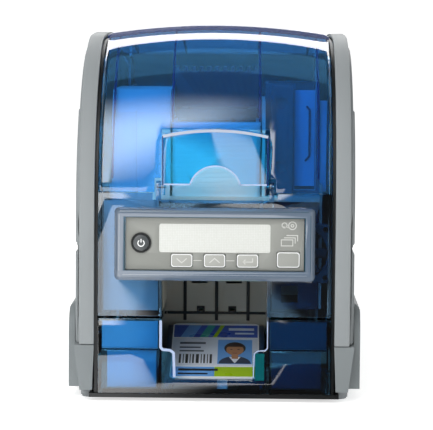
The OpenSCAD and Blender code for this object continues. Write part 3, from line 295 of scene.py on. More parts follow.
# The tinted sheets are thin, so what lies behind them is hardly bent; the polish is a clear coat.
CLEAR = {"Transmission Weight": 1.0, "IOR": 1.04, "Coat Weight": 1.0, "Coat Roughness": 0.03, "Coat IOR": 1.8}
SATIN = {"Specular IOR Level": 0.22}
# Silver ABS: metal flake in the resin gives a soft sheen, spark-eroded mould a fine grain.
moulded("silver_abs", "#8d9294", 0.55, 0.8, 0.5, 0.06, **SATIN)
moulded("silver_abs_low", "#7f8587", 0.55, 0.8, 0.5, 0.06, **SATIN)
moulded("silver_abs_back", "#7d8386", 0.55, 0.8, 0.5, 0.06, **SATIN)
# Clear tinted polycarbonate: polished mould, so no grain and a sharp reflection.
moulded("blue_polycarbonate", "#5fb0ea", 0.03, 8, 0.01, 0.03, **CLEAR)
moulded("blue_panel", "#86b4d8", 0.03, 8, 0.01, 0.03, **CLEAR)
moulded("blue_door", "#3fbde8", 0.03, 8, 0.01, 0.03, **CLEAR)
moulded("blue_drawer", "#61aed7", 0.03, 8, 0.01, 0.03, **CLEAR)
# Its thick ribs hold the light: darker than the sheet. Its cut edges leak the light, shown as a
# painted highlight paler than the sheet. The surround of the screen is smoked, under a gloss coat.
moulded("deep_blue", "#0c2f72", 0.15, 4, 0.03, 0.05, Alpha=0.75)
moulded("smoke_bezel", "#616f80", 0.1, 8, 0.02, 0.06, **{"Coat Weight": 1.0})
moulded("lavender_painted_highlight", "#b4c6e6", 0.15, 4, 0.05, 0.04, Alpha=0.8)
# Opaque ABS inside the clear parts: satin mould, so its colour shows and no gleam hides it.
moulded("navy_abs", "#24405f", 0.35, 1.2, 0.1, 0.08, **SATIN)
moulded("sky_abs", "#bcd8ee", 0.25, 1.2, 0.1, 0.05)
moulded("slate_abs", "#3c6076", 0.4, 1.2, 0.1, 0.06, **SATIN)
# Painted light: a pale blue for the back roof's faces that look forward or down.
moulded("roof_painted_light_blue", "#8fccf8", 0.4, 1.2, 0.1, 0.06, **SATIN)
moulded("cobalt_abs", "#8fc4e8", 0.3, 1.2, 0.1, 0.05)
# Unpainted engineering ABS in greys and black: coarser grain, matt.
moulded("pale_grey_abs", "#ebe6e2", 0.45, 0.8, 0.2, 0.04)
moulded("warm_grey_abs", "#b0ac9e", 0.5, 0.8, 0.25, 0.06)
moulded("dark_grey_abs", "#33383a", 0.5, 0.8, 0.25, 0.08)
moulded("black_abs", "#0d1113", 0.48, 0.8, 0.3, 0.1)
# Textured polyester film on the control plate and on the keys: fine, even, half matt.
moulded("grey_film", "#8f918c", 0.38, 0.5, 0.12, 0.02)
moulded("grey_key", "#9b9d98", 0.38, 0.5, 0.12, 0.02)
moulded("pale_key", "#a6a7a2", 0.36, 0.5, 0.12, 0.02)
moulded("dark_button", "#4a4e50", 0.3, 0.5, 0.1, 0.05)
# Screen-printed inks: thin and even. The white ink also paints the highlight on the screen surround;
# the silver line is a painted highlight on the door's top edge, the teal line painted shade on the surround.
moulded("door_edge_painted_highlight", "#a9b4c4", 0.25, 0.6, 0.05, 0.03)
moulded("painted_shade_teal", "#12404e", 0.2, 0.6, 0.05, 0.05)
moulded("white_ink_and_painted_highlight", "#eef0f0", 0.5, 0.6, 0.08, 0.02)
moulded("grey_ink", "#c9cac6", 0.5, 0.6, 0.08, 0.02)
# Nitrile rubber: matt and pitted. Ribbon film: thin and shiny.
moulded("grey_rubber", "#84898c", 0.7, 0.5, 0.4, 0.05)
moulded("black_rubber", "#1c1e20", 0.75, 0.4, 0.5, 0.1)
moulded("amber_film", "#b8860b", 0.2, 3, 0.05, 0.1)
moulded("dark_film", "#241c20", 0.2, 3, 0.05, 0.1)
# Gloss PVC card, and the coloured pigment of one bin tab.
moulded("card_white", "#f4f6f9", 0.3, 1.5, 0.04, 0.02)
moulded("teal_abs", "#12907c", 0.2, 1.2, 0.08, 0.05)
# Inks of the generic card: each print colour has its own dye.
moulded("ink_blue", "#2f55b8", 0.3, 1.0, 0.03, 0.25)
moulded("ink_sky", "#6aa6e6", 0.3, 1.0, 0.03, 0.12)
moulded("ink_teal", "#2fa39a", 0.3, 1.0, 0.03, 0.12)
moulded("ink_green", "#a3c81f", 0.3, 1.0, 0.03, 0.1)
moulded("ink_black", "#23262b", 0.35, 1.0, 0.03, 0.1)
moulded("ink_suit", "#3a4358", 0.3, 1.0, 0.03, 0.1)
moulded("ink_skin", "#b98560", 0.3, 1.0, 0.03, 0.05)
moulded("ink_hair", "#2e231d", 0.3, 1.0, 0.03, 0.1)
moulded("ink_lip", "#94564a", 0.3, 1.0, 0.03, 0.05)
moulded("ink_paper", "#dfe6f1", 0.3, 1.0, 0.03, 0.03)
print("moulded finishes:", len(FINISH))

# %% [markdown]
# The screen is a reflective cell behind a clear window: cream, with the fine grid of its cells. The
# real pitch is 0.4 mm, too fine to see here, so the grid is drawn at 1 mm.

# %% Screen
screen = bpy.data.materials.new("screen_cell")
screen.use_nodes = True
tree = screen.node_tree
tree.nodes.clear()
where = add_node(tree, "ShaderNodeTexCoord").outputs["Object"]
cells = add_node(tree, "ShaderNodeTexBrick", wires={"Vector": add_node(
    tree, "ShaderNodeMapping", wires={"Vector": where}, values={"Rotation": (math.pi / 2, 0, 0)}
).outputs[0]}, offset=0.0, values={
    "Color1": linear("#d6d8d4"), "Color2": linear("#d2d4cf"), "Mortar": linear("#c8cac4"), "Scale": 1.0,
    "Mortar Size": 0.08 * MM, "Brick Width": 1 * MM, "Row Height": 1 * MM
})
cell_shader = add_node(tree, "ShaderNodeBsdfPrincipled", wires={"Base Color": cells.outputs["Color"]},
                       values={"Roughness": 0.2})
add_node(tree, "ShaderNodeOutputMaterial", wires={"Surface": cell_shader.outputs[0]})
FINISH["screen_cell"] = screen


# %% [markdown]
# Metal parts are zinc-plated sheet, milled aluminium and brass. Rolling leaves long streaks in the
# sheet, so its noise is stretched along the machine.

# %% Metals
def worked_metal(name, colour, roughness, streak_mm, metallic=1.0):
    finish = bpy.data.materials.new(name)
    finish.use_nodes = True
    tree = finish.node_tree
    tree.nodes.clear()
    place = add_node(tree, "ShaderNodeTexCoord").outputs["Object"]
    stretched = add_node(tree, "ShaderNodeMapping", wires={"Vector": place}, values={"Scale": (1, 0.06, 1)})
    streaks = add_node(tree, "ShaderNodeTexNoise", wires={"Vector": stretched.outputs[0]}, values={
        "Scale": 1 / (streak_mm * MM), "Detail": 4.0
    })
    base = linear(colour)
    tint = add_node(tree, "ShaderNodeMix", data_type="RGBA", wires={0: streaks.outputs["Fac"]})
    tint.inputs[6].default_value = tuple(c * 0.85 for c in base[:3]) + (1.0,)
    tint.inputs[7].default_value = base
    rough = add_node(tree, "ShaderNodeMapRange", wires={"Value": streaks.outputs["Fac"]}, values={
        "To Min": roughness * 0.8, "To Max": roughness * 1.2
    })
    bump = add_node(tree, "ShaderNodeBump", wires={"Height": streaks.outputs["Fac"]}, values={
        "Strength": 0.15, "Distance": 0.05 * MM
    })
    shader = add_node(tree, "ShaderNodeBsdfPrincipled", wires={
        "Base Color": tint.outputs[2], "Roughness": rough.outputs[0], "Normal": bump.outputs[0]
    }, values={"Metallic": metallic})
    add_node(tree, "ShaderNodeOutputMaterial", wires={"Surface": shader.outputs[0]})
    FINISH[name] = finish


worked_metal("zinc_sheet", "#b9bec0", 0.38, 1.2)
worked_metal("milled_aluminium", "#c6c9ca", 0.32, 0.8)
worked_metal("turned_brass", "#c9a24a", 0.3, 0.8)
worked_metal("lacquered_motor", "#2b2f31", 0.5, 1.0, 0.4)
worked_metal("solder_mask", "#175a38", 0.35, 3.0, 0.0)

# %% [markdown]
# Every solid of the frame gets a finish first, so nothing is left grey. Pieces that get a better
# shape later on replace their solid and bring their own finish.

# %% Finishes for the frame's own solids
NODE_FINISH = {
    "black_abs": "base_tray side_frames power_ring rear_connectors", "slate_abs": "fan_housing fan_rotor",
    "grey_rubber": "feet", "silver_abs": "side_panel_left side_panel_right",
    "silver_abs_low": "skirts", "silver_abs_back": "duplex_case",
    "blue_panel": "front_panel", "smoke_bezel": "display_bezel cartridge_frame", "grey_film": "display_plate",
    "screen_cell": "lcd_window", "solder_mask": "control_board main_board",
    "dark_grey_abs": "rear_wall entry_guide flipper card_weight", "warm_grey_abs": "exit_bay",
    "pale_grey_abs": "hopper_frame", "navy_abs": "hopper_side_block card_tray rear_cover duplex_cover",
    "card_white": "blank_cards printed_card",
    "zinc_sheet": "engine_plate_left engine_plate_right crossbars power_supply duplex_frame pins_and_screws",
    "lacquered_motor": "stepper_motors", "dark_film": "ribbon takeup_spool", "amber_film": "supply_spool",
    "black_rubber": "drive_belt pick_roller platen_roller exit_roller feed_roller transport_roller "
                    "relay_roller entry_roller",
    "blue_polycarbonate": "top_cover", "blue_door": "hopper_door", "dark_button": "power_button",
    "pale_key": "key_down key_up key_enter", "grey_key": "key_user", "blue_drawer": "output_hopper",
    "turned_brass": "card_pinion ribbon_pinion flipper_pinion", "milled_aluminium": "printhead",
}
for finish_name, nodes in NODE_FINISH.items():
    for node_name in nodes.split():
        shape = frame["nodes"][node_name].data
        shape.materials.clear()
        shape.materials.append(FINISH[finish_name])
print("solids with a finish:", sum(len(v.split()) for v in NODE_FINISH.values()))


# %% [markdown]
# ## Moulded edges
# A moulding never has a knife edge: the tool maker rounds it, and the light runs along it. The solid
# is copied, its loose triangles are merged back into faces, and a Bevel modifier rounds each sharp
# edge. Only edges over 30 degrees count, so round walls stay as they are.

# %% Round a solid's edges
def only(piece):
    bpy.ops.object.select_all(action="DESELECT")
    piece.select_set(True)
    bpy.context.view_layer.objects.active = piece
    return piece


def flipped(piece):
    only(piece)
    bpy.ops.object.mode_set(mode="EDIT")
    bpy.ops.mesh.select_all(action="SELECT")
    bpy.ops.mesh.flip_normals()
    bpy.ops.object.mode_set(mode="OBJECT")


def joined(pieces):
    bpy.ops.object.select_all(action="DESELECT")
    for piece in pieces:
        piece.select_set(True)
    bpy.context.view_layer.objects.active = pieces[0]
    if len(pieces) > 1:
        bpy.ops.object.join()
    return pieces[0]


def settle(piece, name, body, finish, smooth=30):
    only(piece)
    piece.name = name
    piece.data.materials.clear()
    piece.data.materials.append(FINISH[finish])
    bpy.ops.object.transform_apply(location=True, rotation=True, scale=True)
    bpy.ops.object.shade_smooth_by_angle(angle=math.radians(smooth))
    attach(piece, body)
    return piece


def softened(node, name, finish, width_mm, segments=2):
    piece = frame["nodes"][node].copy()
    piece.data = frame["nodes"][node].data.copy()
    piece.parent = None
    piece.matrix_world = Matrix.Identity(4)
    bpy.context.scene.collection.objects.link(piece)
    only(piece)
    bpy.ops.object.mode_set(mode="EDIT")
    bpy.ops.mesh.select_all(action="SELECT")
    bpy.ops.mesh.remove_doubles(threshold=0.004 * MM)
    bpy.ops.mesh.dissolve_limited(angle_limit=math.radians(0.6))
    bpy.ops.object.mode_set(mode="OBJECT")
    edge = piece.modifiers.new("moulded edge", "BEVEL")
    edge.width = width_mm * MM
    edge.segments = segments
    edge.limit_method = "ANGLE"
    edge.angle_limit = math.radians(30)
    edge.use_clamp_overlap = True
    bpy.ops.object.modifier_apply(modifier=edge.name)
    settle(piece, name, body_of_node(node), finish)
    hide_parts(node)
    return piece


EDGES = [
    ("side_panel_left", "left_silver_side", "silver_abs", "silver_moulding", 0.9),
    ("side_panel_right", "right_silver_side", "silver_abs", "silver_moulding", 0.9),
    ("skirts", "lower_strips", "silver_abs_low", "silver_moulding", 0.6),
    ("front_panel", "blue_fascia", "blue_panel", "blue_clear", 0.35),
    ("display_bezel", "screen_surround", "smoke_bezel", "blue_clear_light", 0.5),
    ("display_plate", "control_plate", "grey_film", "grey_plate", 0.25),
    ("power_button", "power_cap", "dark_button", "button_dark", 0.5),
    ("key_down", "key_cap_down", "pale_key", "key_pale", 0.3),
    ("key_up", "key_cap_up", "pale_key", "key_pale", 0.3),
    ("key_enter", "key_cap_enter", "pale_key", "key_pale", 0.3),
    ("key_user", "key_cap_user", "grey_key", "grey_plate", 0.3),
    ("hopper_door", "loading_door", "blue_door", "blue_clear", 0.4),
    ("output_hopper", "pull_out_bin", "blue_drawer", "blue_clear", 0.35),
    ("exit_bay", "bay_back_wall", "warm_grey_abs", "dark_grey_moulding", 0.2),
    ("hopper_frame", "card_guide_box", "pale_grey_abs", "light_grey_moulding", 0.3),
    ("hopper_side_block", "right_guide_box", "slate_abs", "navy_moulding", 0.3),
    ("card_weight", "stack_weight", "dark_grey_abs", "dark_grey_moulding", 0.5),
    ("rear_cover", "back_roof", "navy_abs", "navy_moulding", 0.4),
    ("duplex_case", "flip_module_case", "silver_abs_back", "silver_moulding", 0.6),
    ("duplex_cover", "flip_module_lid", "navy_abs", "navy_moulding", 0.5),
]
for node_name, piece_name, finish_name, slot_name, width in EDGES:
    made = softened(node_name, piece_name, finish_name, width)
    print(piece_name, len(made.data.polygons), "faces")

# %% [markdown]
# ## The domed cover
# The cover is one clear sheet, 2.2 mm thick, that follows the side view: a quarter round of 104 mm in
# front, then a nearly flat top with a low crown. It could be lofted from curves. Here a grid is laid
# over it instead: rows are stations along the side view, columns run from flange to flange.

# %% Stations of the cover
FRONT_R, TOP_R, SIDE_H, JOIN_DEG = 104.0, 1200.0, 218.0, 87.0
HALF, SKIN, FLANGE, CROWN = 69.3, 2.2, 14.0, 6.0
COVER_Z, FADE_FROM, FADE_TO = 124.6, 200.0, 318.0
DOOR_HALF, DOOR_HIGH, LUG_HALF, LUG_HIGH, DOOR_BACK = 32.2, 161.5, 36.0, 133.0, 40.0
ARC_Z = SIDE_H - TOP_R + (TOP_R - FRONT_R) * math.sin(math.radians(JOIN_DEG))
TOP_Y = FRONT_R + (TOP_R - FRONT_R) * math.cos(math.radians(JOIN_DEG))
TOP_Z = SIDE_H - TOP_R


def ease(k):
    k = min(1.0, max(0.0, k))
    return k * k * (3 - 2 * k)


def angle_at_height(z):
    return math.degrees(math.asin((z - ARC_Z) / FRONT_R))


LOW_DEG = angle_at_height(COVER_Z)


def station(deg=None, y=None):
    if y is None:
        t = math.radians(deg)
        return (FRONT_R * (1 - math.cos(t)), ARC_Z + FRONT_R * math.sin(t), -math.cos(t), math.sin(t),
                CROWN * ease((deg - LOW_DEG) / (JOIN_DEG - LOW_DEG)))
    u = math.asin((y - TOP_Y) / TOP_R)
    return (y, TOP_Z + TOP_R * math.cos(u), math.sin(u), math.cos(u),
            CROWN * (1 - ease((y - FADE_FROM) / (FADE_TO - FADE_FROM))))


LUG_TOP, DOOR_TOP = angle_at_height(LUG_HIGH), angle_at_height(DOOR_HIGH)
degrees_up = [LOW_DEG, LUG_TOP, 15, 19, 23.5, DOOR_TOP] + [32 + 4 * i for i in range(13)] + [83.5, 87]
depths_back = [110, 122, 135, 150, 165, 180, 200, 215, 230, 245, 260, 275, 290, 305, 316, 326, 334]
ROWS = [station(deg=d) for d in degrees_up] + [station(y=y) for y in depths_back]
right_half = [5, 10, 16, 21, 26, 29, 32.2, 36, 42, 47, 52, 57, 62, 66.8]
corner = [(67.76, -0.19), (68.57, -0.73), (69.11, -1.54), (HALF, -2.5), (HALF, -5), (HALF, -9.5),
          (HALF, -FLANGE)]
one_side = [(x, 0.0) for x in right_half] + corner
ACROSS = [(-x, d) for x, d in reversed(one_side)] + [(0.0, 0.0)] + one_side
print("cover grid:", len(ROWS), "rows of", len(ACROSS))


def on_cover(row, x, depth):
    y, z, ny, nz, crown = row
    off = depth + crown * (1 - (x / HALF) ** 2)
    return at(x, y + ny * off, z + nz * off)


# %% [markdown]
# The grid is added with as many cells as there are rows and columns, and each corner moves to its
# place on the cover. Faces over the loading door are taken out, then Solidify gives the wall and
# Bevel rounds the cut edges.

# %% Lay the grid over the cover
def laid_grid(rows, columns, place):
    bpy.ops.object.select_all(action="DESELECT")
    bpy.ops.mesh.primitive_grid_add(x_subdivisions=columns - 1, y_subdivisions=rows - 1, size=1)
    piece = bpy.context.object
    for corner_point in piece.data.vertices:
        i = round((corner_point.co.x + 0.5) * (columns - 1))
        j = round((corner_point.co.y + 0.5) * (rows - 1))
        corner_point.co = place(j, i)
    return piece


def with_wall(piece, thickness_mm, offset, edge_mm):
    only(piece)
    wall = piece.modifiers.new("wall", "SOLIDIFY")
    wall.thickness = thickness_mm * MM
    wall.offset = offset
    wall.use_even_offset = True
    bpy.ops.object.modifier_apply(modifier=wall.name)
    if edge_mm:
        edge = piece.modifiers.new("edge", "BEVEL")
        edge.width = edge_mm * MM
        edge.segments = 2
        edge.angle_limit = math.radians(40)
        bpy.ops.object.modifier_apply(modifier=edge.name)
    return piece


def outward(piece):
    only(piece)
    bpy.ops.object.mode_set(mode="EDIT")
    bpy.ops.mesh.select_all(action="SELECT")
    bpy.ops.mesh.normals_make_consistent(inside=False)
    bpy.ops.object.mode_set(mode="OBJECT")
    return piece


cover = laid_grid(len(ROWS), len(ACROSS), lambda j, i: on_cover(ROWS[j], *ACROSS[i]))
only(cover)
for face in cover.data.polygons:
    x, z, front = abs(face.center.x) / MM, face.center.z, face.center.y < at(0, DOOR_BACK, 0).y
    face.select = front and ((x < DOOR_HALF and z < DOOR_HIGH * MM) or (x < LUG_HALF and z < LUG_HIGH * MM))
for name in ("vertices", "edges"):
    for element in getattr(cover.data, name):
        element.select = False
bpy.ops.object.mode_set(mode="EDIT")
bpy.ops.mesh.select_mode(type="FACE")
bpy.ops.mesh.delete(type="FACE")
bpy.ops.object.mode_set(mode="OBJECT")
normal_up = sum(face.normal.z * face.area for face in cover.data.polygons)
if normal_up < 0:
    flipped(cover)
with_wall(cover, SKIN, -1, 0.35)
settle(cover, "domed_cover", "cover", "blue_polycarbonate", 40)
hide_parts("top_cover")
print("domed cover:", len(cover.data.polygons), "faces")

# %% [markdown]
# Four ribs run along the inside of the cover and stiffen it. From the front they show as darker
# lines. A grip ridge crosses the top, just in front of its highest point, and makes the dark line on
# the skyline.

# %% Ribs and grip ridge
RIB_SUNK, RIB_DEEP, RIB_T = 0.3, 3.2, 1.1
for number, x in enumerate((-61.0, -26.0, 26.0, 61.0)):
    low = degrees_up.index(32) if abs(x) < LUG_HALF else 1
    rows = ROWS[low:-2]
    rib = laid_grid(len(rows), 2, lambda j, i: on_cover(rows[j], x, -SKIN + RIB_SUNK - RIB_DEEP * i))
    with_wall(rib, RIB_T, 0, 0)
    outward(rib)
    settle(rib, f"cover_rib_{number + 1}", "cover", "deep_blue", 40)

ridge_xs = [-68.9, -66, -60, -50, -40, -30, -20, -10, 0, 10, 20, 30, 40, 50, 60, 66, 68.9]
ridge_row = station(deg=79)
ridge = laid_grid(len(ridge_xs), 3, lambda j, i: on_cover(
    ridge_row, ridge_xs[j], (-0.4, 1.4, 2.6 if 0 < j < len(ridge_xs) - 1 else 1.6)[i]))
with_wall(ridge, 1.8, 0, 0.4)
outward(ridge)
settle(ridge, "cover_grip_ridge", "cover", "deep_blue", 40)

# %% [markdown]
# The bin's two side boxes are one moulding in the frame, but the left one is light blue and the
# right one navy. Faces are given to a second material slot by their place.

# %% Side boxes of the bin
LEFT_BOX_FROM = -33


def recoloured(name, finishes, which):
    piece = bpy.data.objects[name]
    for finish in finishes.split():
        piece.data.materials.append(FINISH[finish])
    for face in piece.data.polygons:
        x, y, z = (length / MM for length in face.center)
        face.material_index = int(which(face, x, y - FRONT_Y, z))


softened("card_tray", "bin_side_boxes", "navy_abs", 0.5)
recoloured("bin_side_boxes", "sky_abs", lambda face, x, y, z: x < LEFT_BOX_FROM)

# %% [markdown]
# ## Symbols and lines
# Symbols are printed or moulded lines of even width. A line is a grid of two columns laid along points
# of the front view, mitred where it bends; the lines of one symbol are joined and given the height of
# the print.

# %% Lines on a front face
LONGEST_MITRE = 1.6


def path(*points):
    return [list(points)]


def arc(x, z, radius, start, end, parts=14):
    turns = [math.radians(start + (end - start) * k / parts) for k in range(parts + 1)]
    return [[(x + radius * math.cos(t), z + radius * math.sin(t)) for t in turns]]


def frame_of(x0, x1, z0, z1, cut=1.0):
    return path((x0 + cut, z0), (x1 - cut, z0), (x1, z0 + cut), (x1, z1 - cut), (x1 - cut, z1),
                (x0 + cut, z1), (x0, z1 - cut), (x0, z0 + cut), (x0 + cut, z0))


def mitre(points, j, half):
    closed = math.dist(points[0], points[-1]) < 1e-6
    before = points[j - 1] if j else (points[-2] if closed else None)
    after = points[j + 1] if j + 1 < len(points) else (points[1] if closed else None)
    ways = [(b[0] - a[0], b[1] - a[1]) for a, b in ((before, points[j]), (points[j], after)) if a and b]
    units = [(w[0] / math.hypot(*w), w[1] / math.hypot(*w)) for w in ways]
    x, z = sum(u[0] for u in units), sum(u[1] for u in units)
    size = math.hypot(x, z)
    reach = half * min(LONGEST_MITRE, len(units) / size)
    return -z / size * reach, x / size * reach


def strip_along(points, y, half):
    def edge_point(j, i):
        dx, dz = mitre(points, j, half)
        side = 1 if i else -1
        return at(points[j][0] + side * dx, y, points[j][1] + side * dz)

    strip = laid_grid(len(points), 2, edge_point)
    if strip.data.polygons[0].normal.y > 0:
        flipped(strip)
    return strip


INK_SUNK = 0.03
drawn = []


def strokes(name, lines, y, width, finish, body, height=0.12):
    strips = [strip_along(points, y - height + INK_SUNK, width / 2) for points in lines]
    piece = with_wall(joined(strips), height, -1, 0)
    settle(piece, name, body, finish)
    drawn.append(name)


def extent(node):
    corners = [frame["nodes"][node].matrix_world @ Vector(c) for c in frame["nodes"][node].bound_box]
    low = [min(c[k] for c in corners) / MM for k in range(3)]
    high = [max(c[k] for c in corners) / MM for k in range(3)]
    return low[0], high[0], low[1] - FRONT_Y, high[1] - FRONT_Y, low[2], high[2]


plate_front = extent("display_plate")[2]
for key in ("down", "up", "enter", "user"):
    x0, x1, y0, _, z0, z1 = extent("key_" + key)
    mid_x, mid_z = (x0 + x1) / 2, (z0 + z1) / 2
    strokes(f"key_line_{key}", frame_of(x0 + 0.25, x1 - 0.25, z0 + 0.25, z1 - 0.25), y0, 0.5,
            "white_ink_and_painted_highlight", f"{key}_key")
    if key == "user":
        continue
    mark = {
        "down": path((mid_x - 3, mid_z + 1.2), (mid_x, mid_z - 1.4), (mid_x + 3, mid_z + 1.2)),
        "up": path((mid_x - 3, mid_z - 1.2), (mid_x, mid_z + 1.4), (mid_x + 3, mid_z - 1.2)),
        "enter": path((mid_x + 3, mid_z + 1.6), (mid_x + 3, mid_z - 0.6), (mid_x - 2.8, mid_z - 0.6))
        + path((mid_x - 1.2, mid_z + 0.8), (mid_x - 2.8, mid_z - 0.6), (mid_x - 1.2, mid_z - 2)),
    }[key]
    strokes(f"key_mark_{key}", mark, y0, 0.55, "grey_ink", f"{key}_key")
    if key != "enter":
        strokes(f"joining_line_{key}", path((x1 + 0.6, mid_z), (x1 + 5.4, mid_z)), plate_front, 0.4,
                "grey_ink", "chassis")

x0, x1, y0, _, z0, z1 = extent("power_button")
mid_x, mid_z = (x0 + x1) / 2, (z0 + z1) / 2
strokes("power_mark", arc(mid_x, mid_z - 0.2, 1.9, 125, 415)
        + path((mid_x, mid_z + 0.2), (mid_x, mid_z + 2.3)),
        y0, 0.6, "white_ink_and_painted_highlight", "power_key")
strokes("ribbon_mark", arc(41.2, 105.6, 1.5, 0, 360) + arc(45.9, 105.4, 2.3, 0, 360)
        + arc(45.9, 105.4, 0.8, 0, 360) + path((39.9, 104.8), (43.8, 104.2)),
        plate_front, 0.55, "grey_ink", "chassis")
strokes("cards_mark", path((39.4, 93.4), (46.2, 93.4), (46.2, 97.0), (39.4, 97.0), (39.4, 93.4))
        + path((41, 98.2), (47.6, 98.2), (47.6, 94.8)) + path((42.4, 99.6), (49, 99.6), (49, 96.2)),
        plate_front, 0.5, "grey_ink", "chassis")
print("symbols and key lines:", len(drawn))

# %% [markdown]
# ## Lines of the clear parts
# Clear mouldings show their cut edges as pale or dark lines, because light leaves them there. The
# door's arched top, its thumb cut and the inner edges of the bin's tabs get such a line: a painted
# highlight.

# %% Lit edges
door_face = extent("hopper_door")[2]
# Painted highlight along the door's arched top edge.
strokes("door_top_edge", arc(0, 162.0 - 139.8, 139.0, 102.9, 77.1, 24), door_face, 1.7,
        "door_edge_painted_highlight", "door", 0.4)
strokes("door_thumb_edge", path((-30.5, 129.4), (-14.6, 129.4)) + arc(0, 124.8, 15.6, 163, 17, 20)
        + path((14.6, 129.4), (30.5, 129.4)), door_face, 0.9, "lavender_painted_highlight", "door", 0.3)
strokes("door_side_lines", path((-31, 129), (-31, 158)) + path((31, 129), (31, 158)), door_face, 0.9,
        "deep_blue", "door", 0.3)
bin_face = extent("output_hopper")[2]
TAB_EDGE = [(31.8, 48), (31.8, 32), (30.6, 30.6), (26, 30.2), (24, 28.6), (23.5, 14)]
for side_name, side, width in (("left", -1, 1.6), ("right", 1, 0.6)):
    strokes(f"bin_tab_edge_{side_name}", path(*((side * x, z) for x, z in TAB_EDGE)), bin_face, width,
            "lavender_painted_highlight", "drawer", 0.3)
strokes("bin_tab_tint", path((27.3, 28.6), (27.3, 12.5)), bin_face + 0.9, 5.4,
        "teal_abs", "drawer", 0.6)

# %% [markdown]
# Opaque linings stand behind the clear walls: one behind each upper half of the bin, and a pocket
# with two strips and a clip to the right of the cards.

# %% Linings
for side_name, side, finish_name in (("right", 1, "slate_abs"), ("left", -1, "sky_abs")):
    strokes(f"bin_liner_{side_name}", path((side * 50.3, 30.4), (side * 50.3, 47)), bin_face + 6, 33.4,
            finish_name, "drawer", 1.0)

# The screen surround gets a painted highlight along its left side and bottom, and painted shade along its
# top, its right side and round the sunk control plate.
x0, x1, rim_face, _, z0, z1 = extent("display_bezel")
rim_face += 0.1
strokes("surround_rim", path((x0 + 3.2, z1 - 4), (x0 + 3.2, z0 + 6))
        + path((x0 + 5, z0 + 4.1), (x1 - 5, z0 + 4.1)),
        rim_face, 0.6, "white_ink_and_painted_highlight", "chassis")
strokes("surround_dark_line", path((x0 + 4, z1 - 2.3), (x1 - 4, z1 - 2.3))
        + path((x1 - 3.2, z1 - 4), (x1 - 3.2, z0 + 6)),
        rim_face, 0.9, "painted_shade_teal", "chassis")
px0, px1, _, _, pz0, pz1 = extent("display_plate")
strokes("plate_dark_line", path((px0 - 0.7, pz0 - 0.6), (px1 + 0.7, pz0 - 0.6), (px1 + 0.7, pz1 + 0.7),
                                (px0 - 0.7, pz1 + 0.7), (px0 - 0.7, pz0 - 0.6)),
        rim_face, 0.8, "painted_shade_teal", "chassis")
POCKET_LINES = [
    ("side_pocket_lining", path((53.7, 126), (53.7, 184)), 48, 12, "cobalt_abs", "blue_clear"),
    ("side_dark_strip", path((60.9, 123), (60.9, 186)), 44, 1.3, "black_abs", "black_moulding"),
    ("side_bright_strip", path((64.6, 123), (64.6, 178)), 44, 4.4, "cobalt_abs", "blue_clear"),
    ("side_clip", path((54, 141), (56.5, 144), (56.5, 172), (54.6, 174.5)), 46.5, 1.2, "navy_abs",
     "navy_moulding"),
]
for line_name, lines, depth, width, finish_name, slot_name in POCKET_LINES:
    strokes(line_name, lines, depth, width, finish_name, "chassis", 0.8)
print("symbols, lit edges and linings:", len(drawn))

# %% [markdown]
# ## Cards
# A blank card is a plane with its corners rounded, 0.76 mm thick. The stack is 58 of them, each laid
# a little off the one below, as a hand leaves them.

# %% Stack of blank cards
CARD_W, CARD_L, CARD_T, CARD_CORNER = 54.0, 85.6, 0.76, 3.2
STRAY = 0.2
_, _, y0, y1, stack_low, stack_high = extent("blank_cards")
bpy.ops.object.select_all(action="DESELECT")
bpy.ops.mesh.primitive_plane_add(size=1)
blank = bpy.context.object
blank.scale = ((CARD_W - 0.5) * MM, (CARD_L - 0.5) * MM, 1)
bpy.ops.object.transform_apply(location=True, rotation=True, scale=True)
bpy.ops.object.mode_set(mode="EDIT")
bpy.ops.mesh.select_all(action="SELECT")
bpy.ops.mesh.bevel(offset=CARD_CORNER * MM, segments=5, affect="VERTICES")
bpy.ops.object.mode_set(mode="OBJECT")
with_wall(blank, CARD_T - 0.06, 1, 0.1)
random.seed(5)
stack = []
for number in range(round((stack_high - stack_low) / CARD_T)):
    card = blank.copy()
    card.data = blank.data.copy()
    bpy.context.scene.collection.objects.link(card)
    card.location = at(random.uniform(-STRAY, STRAY), (y0 + y1) / 2 + random.uniform(-STRAY, STRAY),
                       stack_low + 0.03 + CARD_T * number)
    stack.append(card)
bpy.data.objects.remove(blank)
stack_of_cards = joined(stack)
settle(stack_of_cards, "stack_of_blank_cards", "chassis", "card_white")
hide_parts("blank_cards")
print("cards in the stack:", len(stack))

# %% [markdown]
# The finished card carries a generic print of its own: a striped header, a plain portrait, bars in
# place of words and a bar code. Each colour is a thin sheet just above the card, so every print colour
# keeps a clean edge. Places on the card are u across it and v from its near end.

# %% Print on the finished card
SLOPE = math.radians(15)
CARD_Y, CARD_Z = 12.0, 11.52
LAYER_STEP, INK_T = 0.03, 0.02


def on_card(u, v, layer):
    rise = CARD_T + LAYER_STEP * layer
    return at(u, CARD_Y + v * math.cos(SLOPE) - rise * math.sin(SLOPE),
              CARD_Z + v * math.sin(SLOPE) + rise * math.cos(SLOPE))


def printed_shape(name, finish, layer, points):
    bpy.ops.object.select_all(action="DESELECT")
    bpy.ops.mesh.primitive_circle_add(vertices=len(points), radius=1, fill_type="NGON")
    sheet = bpy.context.object
    for corner_point, (u, v) in zip(sheet.data.vertices, points):
        corner_point.co = on_card(u, v, layer)
    if sheet.data.polygons[0].normal.z < 0:
        flipped(sheet)
    with_wall(sheet, INK_T, 1, 0)
    settle(sheet, name, "drawer", finish)


def panel(u0, u1, v0, v1, lean=0.0):
    return [(u0, v0), (u1, v0), (u1 + lean, v1), (u0 + lean, v1)]


def oval(u, v, across, along, start=0, end=360, parts=28):
    turns = [math.radians(start + (end - start) * k / parts) for k in range(parts + (end - start < 360))]
    return [(u + across * math.cos(t), v + along * math.sin(t)) for t in turns]


